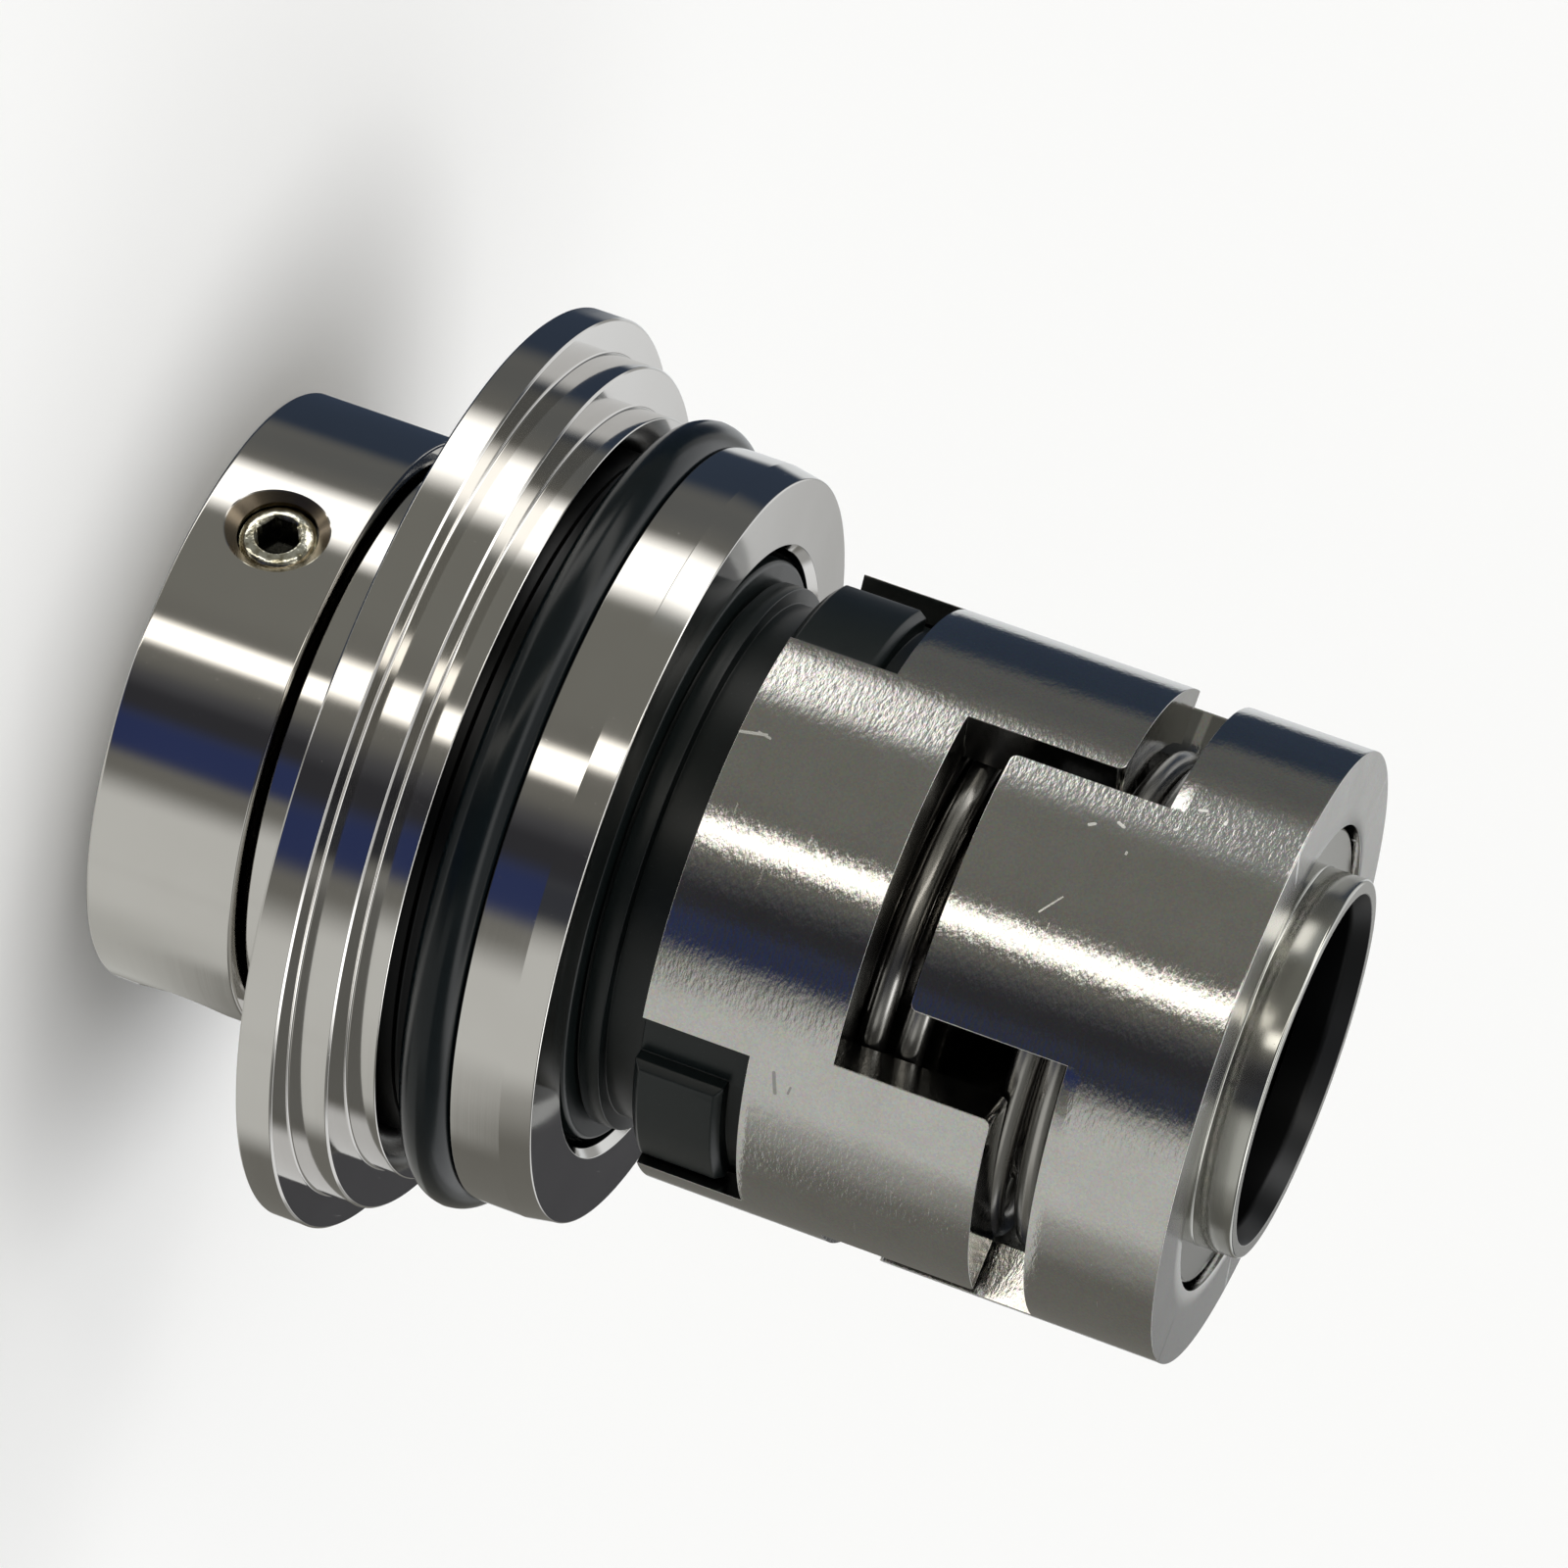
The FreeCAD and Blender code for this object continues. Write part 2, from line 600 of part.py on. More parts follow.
def stationary_seat():
    """The black stationary face, floating on its O-ring in the cover's pocket."""
    body = new_body("stationary_seat")
    chamfer, bore = size.edge_break, sleeve_radius + size.seat_bore_gap
    length = seal_plane - seat_height
    shoulder = cover_end - size.seat_sink - seat_height
    groove = size.seat_groove_height
    groove_end = groove + seat_groove_width
    land = seat_radius - size.seat_shoulder
    turned(body, [
        (bore, 0), (seat_radius - chamfer, 0), (seat_radius, chamfer), (seat_radius, groove),
        (seat_groove_floor, groove), (seat_groove_floor, groove_end), (seat_radius, groove_end),
        (seat_radius, shoulder - chamfer), (seat_radius - chamfer, shoulder),
        (land, shoulder), (land, length), (bore, length),
    ])
    sketch = new_sketch(body, "PinSlot", "XY_Plane", None, size.castle_angle)
    half = pin_radius + size.pin_gap
    inner, outer = pin_circle - half, seat_radius + 1
    outline(sketch, [(inner, -1 * half), (outer, -1 * half), (outer, half), (inner, half)])
    cut_along(body, "Slot", sketch, size.pin_reach - size.seat_lift + size.pin_gap)
    raise_to(body, seat_height)


def rotating_face():
    """The black rotating face: a ring with a running band, a neck and three drive lugs."""
    body = new_body("rotating_face")
    chamfer, bore = size.edge_break, sleeve_radius + size.face_bore_gap
    neck = size.face_band_length
    lugs = neck + size.face_neck_length
    tail = lugs + size.lug_length
    cup = face_length - face_cup_depth
    neck_radius = face_band_radius - size.face_neck_depth
    break_ = size.lug_chamfer
    turned(body, [
        (bore, 0), (face_band_radius - chamfer, 0), (face_band_radius, chamfer),
        (face_band_radius, neck - chamfer), (face_band_radius - chamfer, neck),
        (neck_radius, neck), (neck_radius, lugs),
        (lug_radius - break_, lugs), (lug_radius, lugs + break_), (lug_radius, tail - break_),
        (lug_radius - break_, tail), (face_body_radius, tail), (face_body_radius, face_length),
        (face_cup_radius, face_length), (face_cup_radius, cup), (bore, cup),
    ])
    gap_width = 360 / size.fold_count - size.lug_width
    lean = (size.notch_width - size.lug_width) / 2 - size.lug_touch
    gap_middle = size.castle_angle + lean + 180 / size.fold_count
    sketch = new_sketch(body, "BetweenLugs", "XY_Plane", lugs, gap_middle)
    sector(sketch, face_body_radius, lug_radius + 1, gap_width)
    gap = cut_along(body, "Gap", sketch, size.lug_length)
    ring = round_the_axis(body, gap)
    doc.recompute()
    corners = edges_where(ring, lambda edge: is_axial(edge, lug_radius.value))
    dress(body, "PartDesign::Chamfer", "LugEdges", ring, corners, break_)
    raise_to(body, seal_plane)


def thrust_washer():
    """The flat washer that carries the spring force from the carrier's web to the rotating face."""
    body = new_body("thrust_washer")
    inside = sleeve_radius + 4 * size.slide_gap
    outside = face_body_radius + size.carrier_cup_gap - size.washer_margin
    turned(body, [(inside, 0), (outside, 0), (outside, size.washer_length), (inside, size.washer_length)])
    raise_to(body, washer_height)


def ring_carrier():
    """The castellated carrier: notches drive the lugs, and three fingers reach into the retainer."""
    body = new_body("ring_carrier")
    chamfer = size.edge_break
    cup = face_body_radius + size.carrier_cup_gap
    bore = sleeve_radius + size.slide_gap
    web = size.carrier_cup_depth
    room = web + size.carrier_web
    end = carrier_end - carrier_height
    slots = room + size.carrier_ring
    outside = size.carrier_radius
    turned(body, [
        (cup, 0), (outside - chamfer, 0), (outside, chamfer),
        (outside, end - chamfer), (outside - chamfer, end),
        (spring_room_radius, end), (spring_room_radius, room), (bore, room), (bore, web), (cup, web),
    ])
    sketch = new_sketch(body, "LugNotch", "XY_Plane", None, size.castle_angle)
    sector(sketch, cup - 1, outside + 1, size.notch_width)
    notch = cut_along(body, "Notch", sketch, web - size.notch_rise)
    round_the_axis(body, notch)
    slot_width = 360 / size.fold_count - size.carrier_finger_width
    slot_middle = size.castle_angle + 180 / size.fold_count
    sketch = new_sketch(body, "FingerGap", "XY_Plane", slots, slot_middle)
    sector(sketch, spring_room_radius - 1, outside + 1, slot_width)
    slot = cut_along(body, "Slot", sketch, end - slots)
    ring = round_the_axis(body, slot)
    doc.recompute()
    tips = edges_where(ring, lambda edge: is_radial(edge, end.value) or is_radial(edge, 0))
    dress(body, "PartDesign::Fillet", "FingerCorners", ring, tips, size.finger_corner)
    raise_to(body, carrier_height)


def spring_retainer():
    """The castellated retainer at the shaft's far end: three fingers and a stepped end face."""
    body = new_body("spring_retainer")
    chamfer = size.edge_break
    bore = sleeve_radius + size.nest_gap
    outside = size.retainer_radius
    web = spring_top - retainer_height
    recess = web + size.retainer_web
    recess_radius = size.head_radius + size.head_slit
    end = recess + size.retainer_face_depth
    turned(body, [
        (spring_room_radius, 0), (outside - chamfer, 0), (outside, chamfer),
        (outside, end - chamfer), (outside - chamfer, end), (recess_radius + chamfer, end),
        (recess_radius, end - chamfer), (recess_radius, recess),
        (bore, recess), (bore, web), (spring_room_radius, web),
    ])
    slot_width = 360 / size.fold_count - size.retainer_finger_width
    slot_middle = size.castle_angle - size.retainer_lag
    sketch = new_sketch(body, "FingerGap", "XY_Plane", None, slot_middle)
    sector(sketch, spring_room_radius - 1, outside + 1, slot_width)
    slot = cut_along(body, "Slot", sketch, web - size.retainer_ring)
    ring = round_the_axis(body, slot)
    doc.recompute()
    tips = edges_where(ring, lambda edge: is_radial(edge, 0))
    rounded = dress(body, "PartDesign::Fillet", "FingerCorners", ring, tips, size.finger_corner)
    sketch = new_sketch(body, "PinSeat", "XY_Plane", web, size.castle_angle)
    circle_at(sketch, pin_track, drive_pin_radius)
    hole = cut_along(body, "PinHole", sketch, size.retainer_web)
    hole.BaseFeature = rounded
    raise_to(body, retainer_height)


def spring_rise(turn):
    """Height of the wire's centre above the spring's ground end, after a number of turns.

    The end turns lie closed, one wire apart, and dip a little into the flat that is ground on each
    end.  The one open turn between them takes the rest of the spring's length.
    """
    wire, length = size.spring_wire.value, size.spring_length.value
    ground = 0.2 * wire
    heights = [ground, 1.4 * wire, 2.7 * wire, length - 2.4 * wire, length - 1.4 * wire, length - ground]
    lower = min(int(turn), len(heights) - 2)
    return heights[lower] + (turn - lower) * (heights[lower + 1] - heights[lower])


def coil_spring():
    """The round-wire compression spring between the carrier's web and the retainer's web."""
    turns, steps = 5, 16
    radius, wire = size.spring_radius.value, size.spring_wire.value
    points = []
    for step in range(turns * steps + 1):
        turn = step / steps
        angle = (size.spring_angle.value - 360 * turn) * DEGREE
        across, back = radius * math.cos(angle), radius * math.sin(angle)
        points.append(FreeCAD.Vector(across, back, spring_rise(turn)))
    path = Part.BSplineCurve()
    path.interpolate(points)
    start = path.FirstParameter
    circle = Part.Circle(path.value(start), path.tangent(start)[0], wire / 2)
    coil = Part.Wire([path.toShape()]).makePipeShell([Part.Wire([circle.toShape()])], True, True)
    between_flats = Part.makeCylinder(radius + wire, size.spring_length.value)
    spring = doc.addObject("Part::Feature", "coil_spring")
    spring.Label = "coil_spring"
    spring.Shape = coil.common(between_flats)
    raise_to(spring, spring_height)
    pieces.append(spring)


drive_collar()
for screw in range(1, int(size.fold_count.value) + 1):
    set_screw(screw)
shaft_sleeve()
o_ring("shaft_o_ring", shaft_radius + size.shaft_ring_play + size.shaft_ring_section / 2,
       size.shaft_ring_section,
       head_height + size.head_length - size.shaft_groove_cover - shaft_groove_width / 2)
guide_bush()
seal_cover()
o_ring("cover_o_ring", cover_ring_radius, size.cover_ring_section, cover_ring_height)
stationary_seat()
o_ring("seat_o_ring", seat_ring_radius, size.seat_ring_section, seat_ring_height)
pin("seat_pin", pin_radius, size.pin_length, pin_circle, size.castle_angle,
    pocket_floor + size.pin_reach - size.pin_length)
rotating_face()
o_ring("face_o_ring", face_ring_radius, size.face_ring_section, face_ring_height)
thrust_washer()
ring_carrier()
coil_spring()
spring_retainer()
pin("drive_pin", drive_pin_radius, size.drive_pin_length, pin_track, size.castle_angle,
    head_height + size.drive_pin_depth - size.drive_pin_length)

doc.recompute()

CUTS = ("PartDesign::Pocket", "PartDesign::Groove")
LEAST_CUT = 0.1

for item in doc.Objects:
    if "Invalid" in item.State or "Error" in item.State:
        raise RuntimeError("%s failed: %s" % (item.Label, item.State))
    if item.TypeId in CUTS and item.BaseFeature.Shape.Volume - item.Shape.Volume < LEAST_CUT:
        raise RuntimeError("%s takes nothing away" % item.Label)
os.makedirs("parts", exist_ok=True)
for piece in pieces:
    if piece.Shape.isNull() or not piece.Shape.isValid():
        raise RuntimeError("%s has no valid shape" % piece.Label)
for piece in pieces:
    piece.Shape.exportStep(os.path.join("parts", piece.Label + ".step"))
    box = piece.Shape.BoundBox
    print("%-16s %2d solid, %8.1f cubic mm, radius %5.2f, height %6.2f to %6.2f"
          % (piece.Label, len(piece.Shape.Solids), piece.Shape.Volume, box.XMax, box.ZMin, box.ZMax))
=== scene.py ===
# %% [markdown]
# A cartridge mechanical seal, dressed for a photograph.
#
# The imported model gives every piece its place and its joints.  This file gives the pieces their
# finish: mirror-turned steel, tumbled steel, black rubber, black ceramic and spring wire.  Polished
# metal shows every facet of a coarse mesh, so the pieces that can be seen are worked out again here
# as smooth surfaces, each in the place of the node that it stands for.

# %% Load the frame
import json
import math

import bpy
import numpy as np
from mathutils import Matrix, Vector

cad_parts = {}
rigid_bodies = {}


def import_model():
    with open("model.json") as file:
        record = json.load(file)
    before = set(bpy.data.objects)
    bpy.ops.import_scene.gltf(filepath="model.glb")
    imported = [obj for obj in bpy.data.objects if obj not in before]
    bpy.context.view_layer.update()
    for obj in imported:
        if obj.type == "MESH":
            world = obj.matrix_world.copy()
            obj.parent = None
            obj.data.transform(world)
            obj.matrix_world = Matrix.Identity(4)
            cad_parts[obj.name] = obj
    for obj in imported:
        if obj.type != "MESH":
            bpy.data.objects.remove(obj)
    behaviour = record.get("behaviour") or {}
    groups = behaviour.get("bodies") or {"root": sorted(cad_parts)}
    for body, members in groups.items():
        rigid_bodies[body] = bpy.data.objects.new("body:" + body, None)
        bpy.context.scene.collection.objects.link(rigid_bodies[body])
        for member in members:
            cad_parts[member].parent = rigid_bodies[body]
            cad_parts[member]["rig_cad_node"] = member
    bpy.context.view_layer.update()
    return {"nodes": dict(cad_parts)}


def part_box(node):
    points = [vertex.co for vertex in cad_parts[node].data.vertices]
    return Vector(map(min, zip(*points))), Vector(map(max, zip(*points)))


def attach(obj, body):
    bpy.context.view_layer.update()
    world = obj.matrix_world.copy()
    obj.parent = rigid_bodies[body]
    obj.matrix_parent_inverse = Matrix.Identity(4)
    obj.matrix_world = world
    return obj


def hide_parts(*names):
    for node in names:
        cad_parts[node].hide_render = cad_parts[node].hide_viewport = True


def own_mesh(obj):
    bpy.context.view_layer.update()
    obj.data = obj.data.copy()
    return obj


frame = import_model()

MM = 0.001

# %% [markdown]
# The camera comes first, because everything else is judged through it.  The photograph shows the
# seal lying on a diagonal, seen a little from its open end.  The model stands on its collar, so the
# camera looks at it from the side, a little from above, and is rolled until the axis runs down to
# the right.  A long lens, half a metre away, keeps the circles nearly alike.

# %% Camera
CAMERA_PLACE = (-5.98, -482.8, 146.8)
CAMERA_RIGHT = (-0.33223, 0.20957, 0.91963)
CAMERA_UP = (-0.94320, -0.07380, -0.32392)
CAMERA_LENS = 181.16
SENSOR = 36.0


def place_camera():
    """The camera's axes are the columns of its matrix: right, up, and their cross product, back."""
    right = np.array(CAMERA_RIGHT) / np.linalg.norm(CAMERA_RIGHT)
    back = np.cross(right, CAMERA_UP)
    back = back / np.linalg.norm(back)
    matrix = np.eye(4)
    matrix[:3, 0] = right
    matrix[:3, 1] = np.cross(back, right)
    matrix[:3, 2] = back
    matrix[:3, 3] = np.array(CAMERA_PLACE) * MM
    data = bpy.data.cameras.new("camera")
    data.lens, data.sensor_width = CAMERA_LENS, SENSOR
    data.clip_start, data.clip_end = 0.01, 200.0
    camera = bpy.data.objects.new("camera", data)
    bpy.context.scene.collection.objects.link(camera)
    camera.matrix_world = Matrix(matrix.tolist())
    bpy.context.scene.camera = camera
    bpy.context.scene.view_settings.view_transform = "Standard"
    return back


camera_back = place_camera()
print("camera above the horizon: %.1f degrees" % math.degrees(math.asin(camera_back[2])))

# %% [markdown]
# Shader arithmetic reads best as arithmetic.  A small class wraps a node's socket, so that
# `1 - mask * 0.5` adds the Math nodes by itself.  Every other kind of node comes from one method.

# %% Shader values
class Value:
    """A socket of a node tree that answers to Python's signs."""

    def __init__(self, tree, socket):
        self.tree = tree
        self.socket = socket

    def math(self, operation, *others):
        """A Math node with this value first."""
        return self.tree.node("ShaderNodeMath", {"operation": operation}, [self, *others])

    def __add__(self, other):
        return self.math("ADD", other)

    def __sub__(self, other):
        return self.math("SUBTRACT", other)

    def __rsub__(self, other):
        return self.tree.node("ShaderNodeMath", {"operation": "SUBTRACT"}, [other, self])

    def __mul__(self, other):
        return self.math("MULTIPLY", other)

    def __truediv__(self, other):
        return self.math("DIVIDE", other)

    def clamp(self, low, high):
        """The value, held between two limits."""
        return self.math("MAXIMUM", low).math("MINIMUM", high)

    __radd__, __rmul__ = __add__, __mul__


class Tree:
    """Builds one node tree."""

    def __init__(self, node_tree):
        self.nodes = node_tree.nodes
        self.links = node_tree.links
        self.nodes.clear()

    def feed(self, socket, thing):
        """Links a Value to a socket, or sets the socket's own number or colour."""
        if isinstance(thing, Value):
            self.links.new(thing.socket, socket)
        elif isinstance(thing, (tuple, list)) and socket.type == "RGBA":
            socket.default_value = (*thing[:3], 1.0)
        else:
            socket.default_value = thing

    def node(self, kind, settings=None, inputs=(), output=0):
        """Adds a node: its settings first, then its inputs, by position or by name."""
        made = self.nodes.new(kind)
        for name, setting in (settings or {}).items():
            setattr(made, name, setting)
        pairs = inputs.items() if isinstance(inputs, dict) else enumerate(inputs)
        for key, thing in pairs:
            if thing is not None:
                self.feed(made.inputs[key], thing)
        return Value(self, made.outputs[output]) if len(made.outputs) else None

    def split(self, vector):
        """The three parts of a vector."""
        made = self.node("ShaderNodeSeparateXYZ", None, [vector]).socket.node
        return [Value(self, output) for output in made.outputs]

    def step(self, value, start, stop):
        """0 below start, 1 above stop, and a smooth rise between them.  It falls if stop is lower."""
        low, high = min(start, stop), max(start, stop)
        rise = self.node("ShaderNodeMapRange", {"interpolation_type": "SMOOTHSTEP"},
                         {"Value": value, "From Min": low, "From Max": high})
        return rise if start < stop else 1 - rise

    def mix(self, factor, first, second):
        """Goes from one colour to another."""
        return self.node("ShaderNodeMix", {"data_type": "RGBA"}, {0: factor, 6: first, 7: second}, output=2)


def make_material(name, recipe, kind=Tree):
    """A material from a recipe, which takes a tree and gives shader inputs and a bump height or None.

    The height is in metres, as real ones are.
    """
    material = bpy.data.materials.new(name)
    material.use_nodes = True
    tree = kind(material.node_tree)
    inputs, height = recipe(tree)
    if height is not None:
        bump = {"Strength": 1.0, "Distance": 1.0, "Height": height}
        inputs["Normal"] = tree.node("ShaderNodeBump", None, bump)
    shader = tree.node("ShaderNodeBsdfPrincipled", None, inputs)
    tree.node("ShaderNodeOutputMaterial", None, {"Surface": shader})
    return material


# %% [markdown]
# Metal is only as good as what it reflects.  The studio is painted on the world, as bands that run
# up and down at given directions round the seal: bright soft boxes, dark flags between them, a deep
# blue one, and pale walls.  `turn` is the direction round the seal, 0 straight behind it as the
# camera sees it, 90 at its left side and 180 behind the camera.  `rise` is the height above the
# horizon.  The round walls of the seal mirror what lies below the horizon, and its end faces what
# lies above it.  The ceiling is the ring of soft boxes that lights the floor.

# %% Studio light
WALL = (0.185, 0.180, 0.162)
PALE = (0.69, 0.69, 0.66)
SIDE_BOX = (2.3, 2.25, 2.15)
LEAN, LEAN_BACK, LEAN_RISES = 0.25, 0.55, (-17.0, -9.0)
PANELS = [
    # what it is, first turn, last turn, softness, rises between which it starts, does it lean, colour
    ("dark blue flag behind", 4, 64, 13, None, False, (0.036, 0.050, 0.078)),
    ("grey edge of the flag", 64, 84, 16, None, False, (0.138, 0.140, 0.135)),
    ("bright background", -8, 5, 8, None, False, (0.95, 0.95, 0.95)),
    ("bright background, wider part", -8, 25, 8, (-15.5, -14.5), False, (0.76, 0.78, 0.79)),
    ("pale wall behind", -56, 56, 10, (3.0, 7.0), False, (0.40, 0.40, 0.39)),
    ("brighter part of that wall", -56, 56, 10, (12.0, 15.8), False, (0.95, 0.96, 0.97)),
    ("dark card before that wall", -15, -1.2, 1.2, (9.6, 10.4), False, (0.07, 0.07, 0.075)),
    ("side wall", 108, 158, 18, None, False, (0.215, 0.212, 0.190)),
    ("side soft box", 92, 113, 11, (-11.2, -14.0), False, SIDE_BOX),
    ("side soft box, its dim top", 92, 118, 12, (-12.6, -11.2), False, (0.31, 0.32, 0.31)),
    ("side soft box, upper part", 92, 113, 11, (-3.0, 2.0), False, SIDE_BOX),
    ("narrow soft box by the camera", 164, 172.5, 4, None, True, (2.5, 2.4, 2.2)),
    ("dark flag", 182, 200, 9, None, False, (0.080, 0.080, 0.086)),
    ("darkest part of that flag", 188, 201, 6, None, False, (0.038, 0.038, 0.043)),
    ("dark edge beside it", 199, 213, 8, None, False, (0.045, 0.048, 0.058)),
    ("deep blue flag", 199, 214, 8, (-11.2, -13.4), False, (0.032, 0.045, 0.125)),
    ("pale wall, its soft end", 250, 280, 24, None, False, (0.40, 0.395, 0.37)),
    ("pale wall", 227, 265, 14, None, False, PALE),
    ("pale wall, upper part", 216, 240, 14, (-14.2, -12.4), False, PALE),
    ("pale wall, low part", 260, 298, 14, (-13.4, -15.4), False, PALE),
    ("pale wall, dim top", 216, 300, 14, (8.5, 11.5), False, (0.20, 0.20, 0.19)),
    ("pale wall, foot", 285, 345, 20, (-15.7, -16.9), False, (0.56, 0.56, 0.53)),
]
# The ring of the ceiling and its dimmer middle: rises between which each starts, and its colour.
CEILING = [((42.0, 54.0), (2.38, 2.38, 2.36)), ((60.0, 68.0), (0.62, 0.62, 0.62))]


def build_studio():
    """Each band is a smooth window of the direction, mixed over what is already there.

    A leaning band goes to a larger turn between the two lean rises, and back again above them.
    """
    world = bpy.data.worlds.new("studio")
    world.use_nodes = True
    bpy.context.scene.world = world
    tree = Tree(world.node_tree)
    across, away, upward = tree.split(tree.node("ShaderNodeTexCoord", output=0))
    turn = (0 - across).math("ARCTAN2", away) * (180 / math.pi)
    rise = upward.math("ARCSINE") * (180 / math.pi)
    lean_low, lean_high = LEAN_RISES
    above = (rise - lean_low).clamp(0.0, lean_high - lean_low)
    leaning = turn - above * LEAN + (rise - lean_high).math("MAXIMUM", 0.0) * LEAN_BACK
    colour = WALL
    for _, first, last, soft, starts, leans, paint in PANELS:
        middle, half = (first + last) / 2, (last - first) / 2
        offset = ((leaning if leans else turn) - middle + 540).math("MODULO", 360.0) - 180
        window = tree.step(offset.math("ABSOLUTE"), half + soft / 2, half - soft / 2)
        if starts:
            window = window * tree.step(rise, *starts)
        colour = tree.mix(window, colour, paint)
    for starts, paint in CEILING:
        colour = tree.mix(tree.step(rise, *starts), colour, paint)
    background = tree.node("ShaderNodeBackground", None, {"Color": colour, "Strength": 1.0})
    tree.node("ShaderNodeOutputWorld", None, {"Surface": background})


build_studio()
print("studio bands:", len(PANELS))

# %% [markdown]
# The floor is a plain pale disc that reaches far behind the seal, so it is the background too and
# keeps the soft shadow under the collar.  The metal reflects the painted studio instead of the
# floor, because the floor touches the collar and would wash every band out of it.

# %% Floor and backdrop
FLOOR_RADIUS = 40.0
FLOOR_SIDES = 128
FLOOR_FINISH = {"Base Color": (0.93, 0.93, 0.93), "Roughness": 0.9, "Specular IOR Level": 0.0}


def round_angles(count):
    """Even directions round the axis, in radians."""
    return np.linspace(0, 2 * np.pi, count, endpoint=False)


def build_floor():
    """A disc: points (R cos a, R sin a, 0) round a middle point."""
    angles = round_angles(FLOOR_SIDES)
    rim = np.stack([np.cos(angles), np.sin(angles), 0 * angles], axis=1) * FLOOR_RADIUS
    points = np.vstack([[0, 0, 0], rim])
    index = np.arange(FLOOR_SIDES)
    faces = np.stack([0 * index, index + 1, (index + 1) % FLOOR_SIDES + 1], axis=1)
    mesh = bpy.data.meshes.new("floor")
    mesh.from_pydata(points.tolist(), [], faces.tolist())
    floor = bpy.data.objects.new("floor", mesh)
    bpy.context.scene.collection.objects.link(floor)
    mesh.materials.append(make_material("pale_floor", lambda tree: (FLOOR_FINISH, None)))
    floor.visible_glossy = False


build_floor()
print("floor radius: %.0f m" % FLOOR_RADIUS)

# %% [markdown]
# Every surface here is a grid of points worked out from two numbers, with the exact direction of
# the surface at each point.  Those directions are kept on the mesh, so that a flat face reflects
# like a flat face right up to its rounded edge.  Grids that share an edge are welded.

# %% From grids to a mesh
WELD = 0.001


def grid(points, normals, closed_rows=False, closed_columns=False):
    """Quads between neighbouring points of a grid, each turned to agree with its normals."""
    rows, columns = points.shape[:2]
    row = np.arange(rows if closed_rows else rows - 1)
    column = np.arange(columns if closed_columns else columns - 1)
    i, j = np.meshgrid(row, column, indexing="ij")
    beside = (j + 1) % columns
    start, below = i * columns, (i + 1) % rows * columns
    quads = np.stack([start + j, start + beside, below + beside, below + j], axis=-1)
    return points.reshape(-1, 3), normals.reshape(-1, 3), quads.reshape(-1, 4)


def gather(grids):
    """Several grids as one list of points, normals and quads."""
    starts = np.cumsum([0] + [len(points) for points, _, _ in grids[:-1]])
    points = np.concatenate([points for points, _, _ in grids])
    normals = np.concatenate([normals for _, normals, _ in grids])
    quads = np.concatenate([quads + start for (_, _, quads), start in zip(grids, starts)])
    return points, normals, quads


def add_piece(name, body, node, points, faces, normals=None):
    """A mesh of points in millimetres, which rides on a body and takes the place of a node."""
    mesh = bpy.data.meshes.new(name)
    mesh.from_pydata((points * MM).tolist(), [], faces)
    mesh.shade_smooth()
    if normals is not None:
        mesh.normals_split_custom_set(normals.tolist())
    piece = bpy.data.objects.new(name, mesh)
    bpy.context.scene.collection.objects.link(piece)
    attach(piece, body)
    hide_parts(node)
    print("%-16s %6d points %6d faces" % (name, len(mesh.vertices), len(mesh.polygons)))
    return piece


def new_piece(name, body, grids, node):
    """Welds grids given in millimetres into a closed mesh."""
    points, normals, quads = gather(grids)
    corner = points[quads]
    facing = np.cross(corner[:, 2] - corner[:, 0], corner[:, 3] - corner[:, 1])
    wrong = (facing * normals[quads].mean(axis=1)).sum(axis=1) < 0
    quads[wrong] = quads[wrong][:, ::-1]
    keys = np.round(points / WELD).astype(np.int64)
    _, first, same = np.unique(keys, axis=0, return_index=True, return_inverse=True)
    same = same.reshape(-1)
    welded = same[quads]
    double = welded == np.roll(welded, -1, axis=1)
    whole = ~double.any(axis=1)
    faces = welded[whole].tolist()
    corners = [quads[whole].reshape(-1)]
    for side in range(4):
        chosen = double[:, side] & (double.sum(axis=1) == 1)
        kept = [k for k in range(4) if k != side]
        faces += welded[chosen][:, kept].tolist()
        corners.append(quads[chosen][:, kept].reshape(-1))
    return add_piece(name, body, node, points[first], faces, normals[np.concatenate(corners)])


# %% [markdown]
# Most pieces were turned on a lathe: an outline, carried round the axis.  The outline is written as
# its corners, and every corner gets a small round of its own, convex or hollow, because no real
# turned edge is perfectly sharp and the thin bright line that it catches is what the eye reads.

# %% Turned pieces
EDGE, SIDE_SHARE = 0.07, 0.45
ARC_STEPS, COLUMNS = 5, 360


